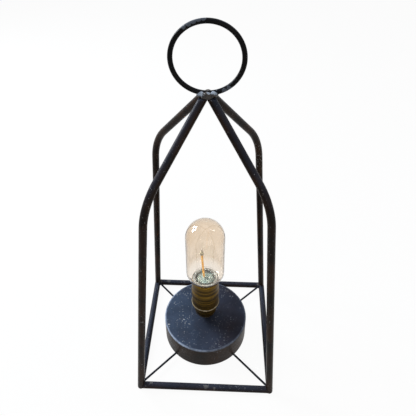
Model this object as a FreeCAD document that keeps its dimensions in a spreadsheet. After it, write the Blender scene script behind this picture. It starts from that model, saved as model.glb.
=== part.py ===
import FreeCAD, Part
import math
import os
import re
import Sketcher

# Lantern table lamp: four round rods, bent inwards at the shoulder and welded at the apex under a
# carrying ring, stand on a square of round bars.  Four thin stays hold a drum in the middle.  The drum
# houses three cells and carries a brass lampholder with a tubular bulb.
# Origin: centre of the square, on the surface the lamp stands on.  +Z up, front towards -Y.

doc = FreeCAD.newDocument("LanternTableLamp")
sizes = doc.addObject("Spreadsheet::Sheet", "Sizes")
vector = FreeCAD.Vector

# Driving sizes in millimetres, angles in degrees.
drivingSizes = {
    # frame of bent rods and bars
    "rodDia": 8.0,
    "footSpacing": 153.4,
    "shoulderSpacing": 113.0,
    "shoulderHeight": 268.6,
    "shoulderTwist": 2.5,
    "shoulderBend": 70.0,
    "apexHeight": 352.7,
    "footRound": 2.0,
    # carrying ring and the weld that holds it
    "ringDia": 62.8,
    "ringWire": 4.7,
    "ringDrop": 1.7,
    "weldFloor": 0.9,
    "weldHalfWidth": 9.6,
    "weldHalfDepth": 7.4,
    "weldHeight": 5.4,
    # stays from the corners to the drum
    "stayDia": 2.6,
    "stayCornerHeight": 6.2,
    "stayDrumHeight": 4.4,
    # drum and where its axis stands
    "lampX": -2.6,
    "lampY": 4.0,
    "drumGap": 2.6,
    "drumDia": 105.4,
    "drumHeight": 30.0,
    "drumWall": 1.0,
    "drumEdge": 1.6,
    # cover under the drum, with the battery bay moulded on it
    "coverRecess": 0.4,
    "coverThick": 2.4,
    "coverAir": 0.3,
    "bayWall": 1.5,
    "bayLedge": 1.2,
    "cellDia": 14.2,
    "cellLength": 49.2,
    "cellNubDia": 5.5,
    "cellNubLength": 1.0,
    "cellGap": 1.0,
    "cellAir": 0.4,
    # battery door and its hinge
    "doorThick": 1.6,
    "doorAir": 0.35,
    "hingeOffset": 4.5,
    "hingeRadius": 1.6,
    "hingePinDia": 1.6,
    "pinSlack": 0.06,
    "knuckleLength": 7.4,
    "knuckleCentre": 16.0,
    "knuckleAir": 0.3,
    "hingeSweep": 1.1,
    "hingeBlockHalf": 2.6,
    "hingeBlockRise": 1.8,
    "hingeEar": 2.4,
    "scoopWidth": 12.0,
    "scoopLength": 4.5,
    "scoopDepth": 1.3,
    # contacts of the cells
    "contactAir": 0.1,
    "leafWidth": 7.0,
    "leafThick": 0.4,
    "leafReach": 2.8,
    "leafHalfHeight": 4.5,
    "plateThick": 0.6,
    "plateWidth": 9.0,
    "plateHeight": 10.0,
    # posts and screws of the cover
    "postInset": 6.5,
    "postDia": 6.5,
    "screwDia": 2.9,
    "screwLength": 9.0,
    "screwHeadDia": 5.2,
    "screwHeadHeight": 1.1,
    "screwSunk": 0.2,
    "screwSlack": 0.05,
    "headAir": 0.3,
    # slide switch
    "switchInset": 13.5,
    "switchY": -5.0,
    "switchWidth": 6.4,
    "switchLength": 13.0,
    "switchHeight": 4.6,
    "switchWall": 0.8,
    "knobWidth": 2.6,
    "knobLength": 3.0,
    "knobTravel": 3.0,
    "knobAir": 0.3,
    "knobSunk": 0.5,
    "sliderLength": 5.4,
    "sliderHeight": 1.8,
    "fingerWidth": 7.0,
    "fingerLength": 12.0,
    "fingerDepth": 0.8,
    # driver board
    "boardInset": 13.0,
    "boardY": -9.0,
    "boardWidth": 12.0,
    "boardLength": 22.0,
    "boardThick": 1.2,
    "chipWidth": 4.0,
    "chipLength": 5.0,
    "chipHeight": 1.5,
    "chipShift": 6.5,
    "capacitorDia": 5.0,
    "capacitorHeight": 7.0,
    "capacitorShift": -6.0,
    # hollow threaded nipple through the drum, its nut, washer and collar
    "nippleDia": 10.0,
    "nippleWall": 1.3,
    "nippleBelowNut": 2.8,
    "nippleAboveNut": 4.8,
    "threadSlack": 0.05,
    "nutWall": 2.0,
    "nutThick": 3.0,
    "washerRim": 5.0,
    "washerThick": 0.8,
    "collarWall": 1.4,
    "collarHeight": 4.4,
    "lockNutWall": 1.8,
    "lockNutThick": 3.0,
    # brass lampholder: domed cap below, barrel above
    "capNeckWall": 2.2,
    "capNeckHeight": 1.2,
    "capDomeInset": 2.65,
    "capDomeHeight": 12.0,
    "capDomeBend": 10.0,
    "capHeight": 25.6,
    "capWall": 0.9,
    "lipWall": 0.55,
    "lipHeight": 3.0,
    "barrelWall": 0.6,
    "barrelLap": 2.4,
    "barrelLength": 42.8,
    "bulgeStart": 13.8,
    "bulgeLength": 13.0,
    "bulgeBend": 42.0,
    "mouthCurl": 1.3,
    "lipAir": 0.1,
    "sleeveAir": 0.1,
    "sleeveWall": 0.6,
    "sleeveShort": 1.5,
    "insulatorAir": 0.15,
    "insulatorFloor": 7.0,
    "insulatorWall": 3.2,
    "linerWall": 0.4,
    "linerRoom": 1.6,
    "linerAir": 0.3,
    "linerDrop": 2.7,
    "linerFloorWidth": 7.35,
    "buttonRadius": 3.2,
    "buttonHeight": 1.3,
    "buttonAir": 0.3,
    # screw-in bulb
    "bulbDia": 45.5,
    "bulbTopAboveRim": 88.7,
    "bulbShoulder": 14.0,
    "glassThick": 0.8,
    "glassFoot": 0.7,
    "neckInset": 1.05,
    "neckDepth": 6.8,
    "bulbCapRadius": 13.05,
    "bulbCapWall": 0.5,
    "bulbRimFlange": 1.95,
    "bulbRimHeight": 1.6,
    "bulbCapHeight": 20.2,
    "bulbCapEndInset": 3.55,
    "bulbCapTaper": 2.6,
    "threadDepth": 0.7,
    "threadPitch": 3.6,
    "threadStart": 3.4,
    "bulbGlassPlug": 2.6,
    "bulbContactRadius": 4.4,
    "bulbContactHeight": 1.4,
    "mountAir": 0.2,
    "mountThick": 2.0,
    "mountStep": 1.2,
    "mountRimWidth": 2.6,
    "mountHubRadius": 3.2,
    "mountPostRadius": 1.5,
    "mountPostHeight": 3.4,
    "filamentDia": 2.6,
    "filamentLength": 37.0,
    "filamentShift": -1.7,
    "filamentLean": 3.4,
    "filamentFootAir": 0.36,
    "filamentAir": 0.1,
    "beadDia": 4.7,
    "wireDia": 0.6,
    "wireBack": 3.2,
    "wireAbove": 4.2,
    "wireBend": 0.9,
    # insulated leads from the board up into the lampholder
    "leadDia": 1.5,
    "leadSpread": 1.7,
    "leadBend": 3.4,
    "leadRun": 10.2,
}
threadTurns = 4

# Sizes that follow from the ones above, as expressions of their names.
followingSizes = {
    "rodRadius": "rodDia / 2",
    "ringRadius": "ringDia / 2",
    "ringFoot": "apexHeight - ringDrop",
    "weldBottom": "ringFoot - ringWire / 2 - weldFloor",
    "drumRadius": "drumDia / 2",
    "drumTop": "drumGap + drumHeight",
    "drumCeiling": "drumTop - drumWall",
    "coverBottom": "drumGap + coverRecess",
    "coverTop": "coverBottom + coverThick",
    "coverRadius": "drumRadius - drumWall - coverAir",
    "doorTop": "coverBottom + doorThick",
    "cellPitch": "cellDia + cellGap",
    "cellCentre": "doorTop + cellAir + cellDia / 2",
    "bayTop": "cellCentre + cellDia / 2 + cellAir",
    "bayHalfWidth": "cellPitch + cellDia / 2 + cellAir",
    "cellFull": "cellLength + cellNubLength",
    "bayHalfLength": "(cellFull + leafReach + leafThick + plateThick + 2 * contactAir) / 2",
    "nubEnd": "bayHalfLength - plateThick - contactAir",
    "hingeY": "bayHalfLength + hingeOffset",
    "hingeZ": "coverBottom + hingeRadius",
    "knuckleInner": "knuckleCentre - knuckleLength / 2",
    "knuckleOuter": "knuckleCentre + knuckleLength / 2",
    "hingeHalf": "knuckleOuter + knuckleAir + hingeEar",
    "doorHalfWidth": "bayHalfWidth + bayLedge - doorAir",
    "doorEdge": "bayHalfLength + bayLedge - doorAir",
    "doorHingeEdge": "hingeY - hingeRadius - doorAir - doorAir",
    "postCircle": "drumRadius - drumWall - postInset",
    "switchX": "drumRadius - drumWall - switchInset",
    "boardX": "boardInset + drumWall - drumRadius",
    "knobBottom": "coverBottom + knobSunk",
    "headSeat": "coverBottom + screwSunk + screwHeadHeight",
    "nutBottom": "drumCeiling - washerThick - nutThick",
    "nippleBottom": "nutBottom - nippleBelowNut",
    "nippleTop": "capNeckTop + capWall + lockNutThick + nippleAboveNut",
    "nippleHole": "nippleDia / 2 + threadSlack",
    "nutFlats": "nippleDia + 2 * nutWall",
    "collarTop": "drumTop + collarHeight",
    "capNeckRadius": "nippleDia / 2 + capNeckWall",
    "capNeckTop": "collarTop + capNeckHeight",
    "capDomeRadius": "barrelRadius - capDomeInset",
    "lipRadius": "barrelRadius + lipAir + lipWall",
    "capMouth": "collarTop + capHeight",
    "lipBottom": "capMouth - lipHeight",
    "lipSeat": "capMouth - barrelLap - lipAir",
    "barrelBottom": "capMouth - barrelLap",
    "barrelTop": "barrelBottom + barrelLength",
    "linerRadius": "bulbCapRadius + linerAir",
    "sleeveBore": "linerRadius + linerWall + linerRoom",
    "sleeveRadius": "sleeveBore + sleeveWall",
    "barrelBore": "sleeveRadius + sleeveAir",
    "barrelRadius": "barrelBore + barrelWall",
    "insulatorRadius": "sleeveBore - insulatorAir",
    "rimBottom": "barrelTop",
    "rimTop": "rimBottom + bulbRimHeight",
    "bulbCapBottom": "rimTop - bulbCapHeight",
    "plugBottom": "bulbCapBottom - bulbGlassPlug",
    "bulbBottom": "plugBottom - bulbContactHeight",
    "insulatorTop": "bulbBottom - buttonAir - buttonHeight",
    "bulbRimRadius": "bulbCapRadius + bulbRimFlange",
    "bulbCapEndRadius": "bulbCapRadius - bulbCapEndInset",
    "capBore": "bulbCapRadius - threadDepth - bulbCapWall",
    "bulbRadius": "bulbDia / 2",
    "glassFootZ": "rimTop + glassFoot",
    "shoulderZ": "glassFootZ + sqrt(bulbShoulder ^ 2 - (glassFootRadius - bulbRadius + bulbShoulder) ^ 2)",
    "glassFootRadius": "bulbRimRadius + glassThick",
    "insideShoulder": "bulbShoulder - glassThick",
    "insideDrop": "shoulderZ - glassFootZ - glassThick",
    "glassInsideFoot": "bulbRadius - bulbShoulder + sqrt(insideShoulder ^ 2 - insideDrop ^ 2)",
    "bulbTop": "rimTop + bulbTopAboveRim",
    "domeZ": "bulbTop - bulbRadius",
    "neckBottom": "rimTop - neckDepth",
    "neckRadius": "bulbCapRadius - neckInset",
    "neckBore": "neckRadius - glassThick",
    "mountRadius": "neckBore - mountAir",
    "mountStepRadius": "mountRadius - mountRimWidth",
    "mountBottom": "neckBottom + mountStep",
    "mountTop": "mountBottom + mountThick",
    "mountStepTop": "mountTop + mountStep",
    "postTop": "mountStepTop + mountPostHeight",
}
for row, (name, value) in enumerate(drivingSizes.items(), start=1):
    sizes.set("A%d" % row, name)
    sizes.set("B%d" % row, str(value))
    sizes.setAlias("B%d" % row, name)
doc.recompute()

subParts = []


def expression(text):
    """The same text with each size's name replaced by its cell or by what it follows from."""
    def swap(match):
        word = match.group(0)
        if word in followingSizes:
            return "(" + expression(followingSizes[word]) + ")"
        if word in drivingSizes:
            return "Sizes." + word
        return word
    return re.sub(r"[A-Za-z]\w*", swap, text)


def number(text):
    """The value of an expression of size names, in millimetres or degrees."""
    result = sizes.evalExpression(expression(text))
    return float(getattr(result, "Value", result))


def bind(item, path, text):
    item.setExpression(path, expression(text))


def place(item, x="lampX", y="lampY", z="0", turn=None):
    """Put an object at a point given by expressions, turned by a fixed rotation."""
    if turn is not None:
        item.Placement = FreeCAD.Placement(vector(), turn)
    for axis, text in zip("xyz", (x, y, z)):
        if text != "0":
            bind(item, ".Placement.Base." + axis, text)


def keep(item, label):
    """List an object as a finished sub-part under its own label."""
    item.Label = label
    subParts.append(item)
    return item


def newBody(label, x="lampX", y="lampY", z="0"):
    body = doc.addObject("PartDesign::Body", "Body_" + label)
    place(body, x, y, z)
    return keep(body, label)


def newSketch(body, plane, lift="0"):
    """An empty sketch on one of the body's own origin planes, lifted along the plane's normal."""
    sketch = body.newObject("Sketcher::SketchObject", "Sketch")
    support = [item for item in body.Origin.OriginFeatures if item.Role == plane][0]
    sketch.AttachmentSupport = [(support, "")]
    sketch.MapMode = "FlatFace"
    if lift != "0":
        bind(sketch, ".AttachmentOffset.Base.z", lift)
    return sketch


def bindConstraint(sketch, constraint, text):
    index = sketch.addConstraint(constraint)
    bind(sketch, "Constraints[%d]" % index, text)


def fixPoint(sketch, edge, end, x, y):
    """Hold one end of an edge at a point given by two expressions."""
    if x == "0":
        sketch.addConstraint(Sketcher.Constraint("PointOnObject", edge, end, -2))
    else:
        bindConstraint(sketch, Sketcher.Constraint("DistanceX", -1, 1, edge, end, number(x)), x)
    if y == "0":
        sketch.addConstraint(Sketcher.Constraint("PointOnObject", edge, end, -1))
    else:
        bindConstraint(sketch, Sketcher.Constraint("DistanceY", -1, 1, edge, end, number(y)), y)


def arcBetween(first, last, radius):
    """An arc from one point to another; a positive radius turns left, a negative one right."""
    across = last - first
    middle = (first + last) / 2
    left = vector(-across.y, across.x, 0).normalize()
    reach = (radius ** 2 - (across.Length / 2) ** 2) ** 0.5
    side = 1 if radius > 0 else -1
    centre = middle + left * reach * side
    bulge = middle - left * (abs(radius) - reach) * side
    arc = Part.Arc(first, bulge, last)
    return arc, centre


def outline(sketch, corners):
    """A closed outline through corners (x, y) or (x, y, radius), where the radius bends the next edge."""
    points = [vector(number(corner[0]), number(corner[1]), 0) for corner in corners]
    ends = []
    for index, corner in enumerate(corners):
        start = points[index]
        stop = points[(index + 1) % len(points)]
        if len(corner) == 2:
            edge = sketch.addGeometry(Part.LineSegment(start, stop), False)
            ends.append((edge, 1, 2))
            continue
        turn = number(corner[2])
        arc, centre = arcBetween(start, stop, turn)
        edge = sketch.addGeometry(arc, False)
        forward = (sketch.getPoint(edge, 1) - start).Length < (sketch.getPoint(edge, 2) - start).Length
        ends.append((edge, 1, 2) if forward else (edge, 2, 1))
        size = corner[2].lstrip("-")
        bindConstraint(sketch, Sketcher.Constraint("Radius", edge, abs(turn)), size)
    for index, corner in enumerate(corners):
        edge, start, stop = ends[index]
        following = ends[(index + 1) % len(ends)]
        sketch.addConstraint(Sketcher.Constraint("Coincident", edge, stop, following[0], following[1]))
        fixPoint(sketch, edge, start, corner[0], corner[1])


def rectangle(sketch, x0, y0, x1, y1):
    outline(sketch, [(x0, y0), (x1, y0), (x1, y1), (x0, y1)])


def circle(sketch, x, y, radius):
    shape = Part.Circle(vector(number(x), number(y), 0), vector(0, 0, 1), number(radius))
    edge = sketch.addGeometry(shape, False)
    bindConstraint(sketch, Sketcher.Constraint("Radius", edge, number(radius)), radius)
    fixPoint(sketch, edge, 3, x, y)


def turn(body, corners):
    """Revolve an outline of (radius, height) corners about the body's vertical axis."""
    sketch = newSketch(body, "XZ_Plane")
    outline(sketch, corners)
    feature = body.newObject("PartDesign::Revolution", "Revolution")
    feature.Profile = sketch
    feature.ReferenceAxis = (sketch, ["V_Axis"])
    feature.Angle = 360
    body.Tip = feature
    return feature


def extrude(body, kind, sketch, length, backwards=False, middle=False):
    """Pad or pocket a sketch by a length, and check that it adds or removes material."""
    before = body.Shape.Volume if body.Tip else 0
    feature = body.newObject("PartDesign::" + kind, kind)
    feature.Profile = sketch
    bind(feature, ".Length", length)
    feature.Reversed = backwards
    feature.Midplane = middle
    body.Tip = feature
    doc.recompute()
    change = body.Shape.Volume - before
    if (change <= 0) if kind == "Pad" else (change >= 0):
        raise ValueError(body.Label + ": a " + kind + " changes nothing")
    return feature


def cylinder(x, y, z, radius, height, turn=None):
    item = doc.addObject("Part::Cylinder", "Cylinder")
    bind(item, ".Radius", radius)
    bind(item, ".Height", height)
    place(item, x, y, z, turn)
    return item


def block(x, y, z, width, length, height, turn=None):
    """A box from its lowest corner."""
    item = doc.addObject("Part::Box", "Block")
    bind(item, ".Length", width)
    bind(item, ".Width", length)
    bind(item, ".Height", height)
    place(item, x, y, z, turn)
    return item


def together(items):
    item = doc.addObject("Part::Compound", "Group")
    item.Links = items
    return item


def cut(base, tool):
    item = doc.addObject("Part::Cut", "Cut")
    item.Base = base
    item.Tool = tool
    return item


def bentRod(points, bend, diameter):
    """A round rod along straight runs joined by tangent arcs."""
    edges = []
    start = points[0]
    for index in range(1, len(points) - 1):
        corner = points[index]
        back = (points[index - 1] - corner).normalize()
        ahead = (points[index + 1] - corner).normalize()
        reach = bend * ((1 + back.dot(ahead)) / (1 - back.dot(ahead))) ** 0.5
        middle = (back + ahead).normalize()
        centre = corner + middle * (bend ** 2 + reach ** 2) ** 0.5
        first = corner + back * reach
        last = corner + ahead * reach
        edges.append(Part.LineSegment(start, first).toShape())
        edges.append(Part.Arc(first, centre - middle * bend, last).toShape())
        start = last
    edges.append(Part.LineSegment(start, points[-1]).toShape())
    path = Part.Wire(edges)
    along = (points[1] - points[0]).normalize()
    ring = Part.Wire([Part.makeCircle(diameter / 2, points[0], along)])
    rod = path.makePipeShell([ring], True, True)
    length = path.Length * math.pi * diameter ** 2 / 4
    print("rod volume / section x length: %.4f" % (rod.Volume / length))
    return rod


def shapeFeature(label, shape):
    item = doc.addObject("Part::Feature", "Shape_" + label)
    item.Shape = shape
    return keep(item, label)


# ---- legs from round rods: foot on the floor, bend at the shoulder, mitred with each other at the apex
legNames = ["back_right", "back_left", "front_left", "front_right"]
upwards = vector(0, 0, 1)
quarterTurn = 90.0
reachOut = number("apexHeight")


def polar(radius, angle, height):
    return FreeCAD.Rotation(upwards, angle).multVec(vector(radius, 0, 0)) + vector(0, 0, height)


rods = {}
for index, corner in enumerate(legNames):
    footAngle = quarterTurn * (index + 0.5)
    shoulderAngle = footAngle + number("shoulderTwist")
    foot = polar(number("footSpacing") / 2 ** 0.5, footAngle, 0)
    shoulder = polar(number("shoulderSpacing") / 2 ** 0.5, shoulderAngle, number("shoulderHeight"))
    apex = vector(0, 0, number("apexHeight"))
    below = foot + (foot - shoulder).normalize() * number("rodDia")
    rod = bentRod([below, shoulder, apex], number("shoulderBend"), number("rodDia"))
    rods[corner] = doc.addObject("Part::Feature", "Rod")
    rods[corner].Shape = rod
    quadrant = Part.makeBox(reachOut, reachOut, number("weldBottom"))
    quadrant.rotate(vector(), upwards, shoulderAngle - quarterTurn / 2)
    rod = rod.common(quadrant).Solids[0]
    soleEdges = [edge for edge in rod.Edges if abs(edge.BoundBox.ZMax) < 0.001]
    rod = rod.makeFillet(number("footRound"), soleEdges)
    shapeFeature("leg_" + corner, rod)

# ---- base bars: mitred with each other under the legs and fitted round them
barPlaces = {
    "front": (["front_left", "front_right"], "-footSpacing / 2", "-footSpacing / 2", 0, -135),
    "right": (["front_right", "back_right"], "footSpacing / 2", "-footSpacing / 2", 90, -45),
    "back": (["back_right", "back_left"], "footSpacing / 2", "footSpacing / 2", 180, 45),
    "left": (["back_left", "front_left"], "-footSpacing / 2", "footSpacing / 2", 270, 135),
}
bars = {}
for side, (corners, x, y, heading, sectorStart) in barPlaces.items():
    lying = FreeCAD.Rotation(upwards, heading) * FreeCAD.Rotation(vector(0, 1, 0), 90)
    full = cylinder(x, y, "rodRadius", "rodRadius", "footSpacing", lying)
    inQuarter = FreeCAD.Rotation(upwards, sectorStart)
    sector = block("0", "0", "-rodDia", "footSpacing", "footSpacing", "3 * rodDia", inQuarter)
    mitred = doc.addObject("Part::Common", "Mitred")
    mitred.Base = full
    mitred.Tool = sector
    bars[side] = keep(cut(mitred, together([rods[corner] for corner in corners])), "base_bar_" + side)

# ---- carrying ring upright on the apex, and the weld round its foot
ring = doc.addObject("Part::Torus", "Ring")
bind(ring, ".Radius1", "ringRadius")
bind(ring, ".Radius2", "ringWire / 2")
place(ring, "0", "0", "ringFoot + ringRadius", FreeCAD.Rotation(vector(1, 0, 0), 90))
keep(ring, "carrying_ring")

lump = doc.addObject("Part::Ellipsoid", "Lump")
lump.Angle1 = 0
bind(lump, ".Radius1", "weldHeight")
bind(lump, ".Radius2", "weldHalfWidth")
bind(lump, ".Radius3", "weldHalfDepth")
place(lump, "0", "0", "weldBottom")
keep(cut(lump, ring), "apex_weld")

# ---- stays: straight wires from the foot of each leg to the wall of the drum
drumWallOutside = cylinder("lampX", "lampY", "0", "drumRadius", "drumTop")
stayNeighbours = {
    "back_right": ["back", "right"],
    "back_left": ["back", "left"],
    "front_left": ["front", "left"],
    "front_right": ["front", "right"],
}
for index, corner in enumerate(legNames):
    outer = polar(number("footSpacing") / 2 ** 0.5, quarterTurn * (index + 0.5), number("stayCornerHeight"))
    inner = vector(number("lampX"), number("lampY"), outer.z)
    inner += (outer - inner).normalize() * number("drumRadius")
    inner.z = number("stayDrumHeight")
    along = inner - outer
    wire = Part.makeCylinder(number("stayDia") / 2, along.Length + number("stayDia"), outer, along)
    whole = doc.addObject("Part::Feature", "StayWire")
    whole.Shape = wire
    around = [rods[corner], drumWallOutside] + [bars[side] for side in stayNeighbours[corner]]
    keep(cut(whole, together(around)), "stay_" + corner)

# ---- drum: one turned shell with a hole for the nipple
turn(newBody("drum_shell"), [
    ("nippleHole", "drumTop"),
    ("drumRadius - drumEdge", "drumTop", "-drumEdge"),
    ("drumRadius", "drumTop - drumEdge"),
    ("drumRadius", "drumGap"),
    ("drumRadius - drumWall", "drumGap"),
    ("drumRadius - drumWall", "drumCeiling"),
    ("nippleHole", "drumCeiling"),
])

# ---- cover under the drum, with the battery bay, the hinge block, screw holes and switch slot
cover = newBody("drum_cover")
disc = newSketch(cover, "XY_Plane", "coverBottom")
circle(disc, "0", "0", "coverRadius")
extrude(cover, "Pad", disc, "coverThick")
walls = newSketch(cover, "XY_Plane", "coverTop")
rectangle(walls, "-bayHalfWidth - bayWall", "-bayHalfLength - bayWall",
          "bayHalfWidth + bayWall", "bayHalfLength + bayWall")
extrude(cover, "Pad", walls, "bayTop + bayWall - coverTop")
hingeBlock = newSketch(cover, "XY_Plane", "coverTop")
rectangle(hingeBlock, "-hingeHalf", "bayHalfLength + bayWall / 2", "hingeHalf", "hingeY + hingeBlockHalf")
extrude(cover, "Pad", hingeBlock, "hingeBlockRise")
bay = newSketch(cover, "XY_Plane", "coverBottom")
rectangle(bay, "-bayHalfWidth", "-bayHalfLength", "bayHalfWidth", "bayHalfLength")
extrude(cover, "Pocket", bay, "bayTop - coverBottom", backwards=True)
doorSeat = newSketch(cover, "XY_Plane", "coverBottom")
rectangle(doorSeat, "-bayHalfWidth - bayLedge", "-bayHalfLength - bayLedge",
          "bayHalfWidth + bayLedge", "doorHingeEdge + hingeSweep")
extrude(cover, "Pocket", doorSeat, "doorThick + lipAir", backwards=True)
for side in ("-", ""):
    slot = newSketch(cover, "XY_Plane", "coverBottom")
    inner = side + "(knuckleInner - knuckleAir)"
    outer = side + "(knuckleOuter + knuckleAir)"
    low, high = (outer, inner) if side else (inner, outer)
    rectangle(slot, low, "doorHingeEdge", high, "hingeY + hingeRadius + doorAir")
    extrude(cover, "Pocket", slot, "coverThick + hingeBlockRise", backwards=True)
pinHole = newSketch(cover, "YZ_Plane")
circle(pinHole, "hingeY", "hingeZ", "hingePinDia / 2 + pinSlack")
extrude(cover, "Pocket", pinHole, "2 * hingeHalf", middle=True)
scoop = newSketch(cover, "XY_Plane", "coverBottom")
rectangle(scoop, "-scoopWidth / 2", "-bayHalfLength - bayLedge - scoopLength",
          "scoopWidth / 2", "-bayHalfLength - bayLedge + doorAir")
extrude(cover, "Pocket", scoop, "scoopDepth", backwards=True)
fingerSeat = newSketch(cover, "XY_Plane", "coverBottom")
rectangle(fingerSeat, "switchX - fingerWidth / 2", "switchY - fingerLength / 2",
          "switchX + fingerWidth / 2", "switchY + fingerLength / 2")
extrude(cover, "Pocket", fingerSeat, "fingerDepth", backwards=True)
knobSlot = newSketch(cover, "XY_Plane", "coverBottom")
rectangle(knobSlot,
          "switchX - knobWidth / 2 - knobAir", "switchY - (knobLength + knobTravel) / 2 - knobAir",
          "switchX + knobWidth / 2 + knobAir", "switchY + (knobLength + knobTravel) / 2 + knobAir")
extrude(cover, "Pocket", knobSlot, "coverThick", backwards=True)

screwAngles = [30, 150, 270]
screwSpots = []
for angle in screwAngles:
    screwSpots.append(("postCircle * cos(%d)" % angle, "postCircle * sin(%d)" % angle))
for x, y in screwSpots:
    hole = newSketch(cover, "XY_Plane", "coverBottom")
    circle(hole, x, y, "screwDia / 2 + screwSlack")
    extrude(cover, "Pocket", hole, "coverThick", backwards=True)
    sink = newSketch(cover, "XY_Plane", "coverBottom")
    circle(sink, x, y, "screwHeadDia / 2 + headAir")
    extrude(cover, "Pocket", sink, "screwSunk + screwHeadHeight", backwards=True)

# ---- posts welded under the drum's top, and the screws that hold the cover to them
posts = []
screws = []
for x, y in screwSpots:
    spotX = "lampX + " + x
    spotY = "lampY + " + y
    post = cylinder(spotX, spotY, "coverTop", "postDia / 2", "drumCeiling - coverTop")
    bore = cylinder(spotX, spotY, "coverTop", "screwDia / 2 + screwSlack", "screwLength")
    posts.append(cut(post, bore))
    head = cylinder(spotX, spotY, "coverBottom + screwSunk", "screwHeadDia / 2", "screwHeadHeight")
    shank = cylinder(spotX, spotY, "headSeat", "screwDia / 2", "screwLength")
    screw = doc.addObject("Part::Fuse", "Screw")
    screw.Base = head
    screw.Tool = shank
    screws.append(screw)
keep(together(posts), "drum_posts")
keep(together(screws), "cover_screws")

# ---- battery door with two knuckles, and its hinge pin
door = newBody("battery_door")
panel = newSketch(door, "XY_Plane", "coverBottom")
rectangle(panel, "-doorHalfWidth", "-doorEdge", "doorHalfWidth", "doorHingeEdge")
extrude(door, "Pad", panel, "doorThick")
for side in ("-", ""):
    tongue = newSketch(door, "YZ_Plane", side + "knuckleCentre")
    rectangle(tongue, "doorHingeEdge - doorThick", "coverBottom", "hingeY", "doorTop")
    extrude(door, "Pad", tongue, "knuckleLength", middle=True)
    knuckle = newSketch(door, "YZ_Plane", side + "knuckleCentre")
    circle(knuckle, "hingeY", "hingeZ", "hingeRadius")
    extrude(door, "Pad", knuckle, "knuckleLength", middle=True)
pivot = newSketch(door, "YZ_Plane")
circle(pivot, "hingeY", "hingeZ", "hingePinDia / 2 + pinSlack")
extrude(door, "Pocket", pivot, "2 * hingeHalf", middle=True)

acrossX = FreeCAD.Rotation(vector(0, 1, 0), 90)
hingePin = cylinder("lampX - hingeHalf", "lampY + hingeY", "hingeZ",
                    "hingePinDia / 2", "2 * hingeHalf", acrossX)
keep(hingePin, "door_hinge_pin")

# ---- three cells side by side, the middle one turned round, between leaf springs and plates
cells = []
plates = []
leafNames = ["left", "middle", "right"]
for index, name in enumerate(leafNames):
    forward = 1 if index == 1 else -1
    facing = FreeCAD.Rotation(vector(1, 0, 0), -90 * forward)
    cellX = "lampX + cellPitch * (%d)" % (index - 1)
    canStart = "lampY + (%d) * (nubEnd - cellFull)" % forward
    nubStart = "lampY + (%d) * (nubEnd - cellNubLength)" % forward
    cell = doc.addObject("Part::Fuse", "Cell")
    cell.Base = cylinder(cellX, canStart, "cellCentre", "cellDia / 2", "cellLength", facing)
    cell.Tool = cylinder(cellX, nubStart, "cellCentre", "cellNubDia / 2", "cellNubLength", facing)
    cells.append(cell)
    plateSide = "" if forward == 1 else "- bayHalfLength - bayHalfLength + plateThick "
    plates.append(block(cellX + " - plateWidth / 2", "lampY + bayHalfLength - plateThick " + plateSide,
                        "cellCentre - plateHeight / 2", "plateWidth", "plateThick", "plateHeight"))
    leaf = newBody("leaf_spring_" + name, cellX)
    profile = newSketch(leaf, "YZ_Plane")
    wall = "%sbayHalfLength" % ("-" if forward == 1 else "")
    inward = "+" if forward == 1 else "-"
    tip = wall + inward + "leafReach"
    outline(profile, [
        (wall, "cellCentre - leafHalfHeight"),
        (wall + inward + "leafThick", "cellCentre - leafHalfHeight"),
        (tip + inward + "leafThick", "cellCentre"),
        (wall + inward + "leafThick", "cellCentre + leafHalfHeight"),
        (wall, "cellCentre + leafHalfHeight"),
        (tip, "cellCentre"),
    ])
    extrude(leaf, "Pad", profile, "leafWidth", middle=True)
keep(together(cells), "battery_cells")
keep(together(plates), "contact_plates")

# ---- slide switch: a housing on the cover and a slider whose knob passes down through the slot
housing = newBody("switch_housing", "lampX + switchX", "lampY + switchY")
caseOutline = newSketch(housing, "XY_Plane", "coverTop")
rectangle(caseOutline, "-switchWidth / 2", "-switchLength / 2", "switchWidth / 2", "switchLength / 2")
extrude(housing, "Pad", caseOutline, "switchHeight")
channel = newSketch(housing, "XY_Plane", "coverTop")
rectangle(channel, "-switchWidth / 2 + switchWall", "-(sliderLength + knobTravel) / 2 - knobAir",
          "switchWidth / 2 - switchWall", "(sliderLength + knobTravel) / 2 + knobAir")
extrude(housing, "Pocket", channel, "sliderHeight + 2 * knobAir", backwards=True)

slider = newBody("switch_slider", "lampX + switchX", "lampY + switchY - knobTravel / 2")
knobSketch = newSketch(slider, "XY_Plane", "knobBottom")
rectangle(knobSketch, "-knobWidth / 2", "-knobLength / 2", "knobWidth / 2", "knobLength / 2")
extrude(slider, "Pad", knobSketch, "coverTop + knobAir + sliderHeight / 2 - knobBottom")
carriage = newSketch(slider, "XY_Plane", "coverTop + knobAir")
rectangle(carriage, "-switchWidth / 2 + switchWall + knobAir", "-sliderLength / 2",
          "switchWidth / 2 - switchWall - knobAir", "sliderLength / 2")
extrude(slider, "Pad", carriage, "sliderHeight")

# ---- driver board flat on the cover
board = block("lampX + boardX - boardWidth / 2", "lampY + boardY - boardLength / 2", "coverTop",
              "boardWidth", "boardLength", "boardThick")
keep(board, "driver_board")
chip = block("lampX + boardX - chipWidth / 2", "lampY + boardY + chipShift - chipLength / 2",
             "coverTop + boardThick", "chipWidth", "chipLength", "chipHeight")
keep(chip, "timer_chip")
capacitor = cylinder("lampX + boardX", "lampY + boardY + capacitorShift", "coverTop + boardThick",
                     "capacitorDia / 2", "capacitorHeight")
keep(capacitor, "board_capacitor")

# ---- nipple, nut and washer inside the drum, collar on top
def ringOf(label, z, radius, height, bore):
    outside = cylinder("lampX", "lampY", z, radius, height)
    inside = cylinder("lampX", "lampY", z, bore, height)
    return keep(cut(outside, inside), label)


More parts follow.
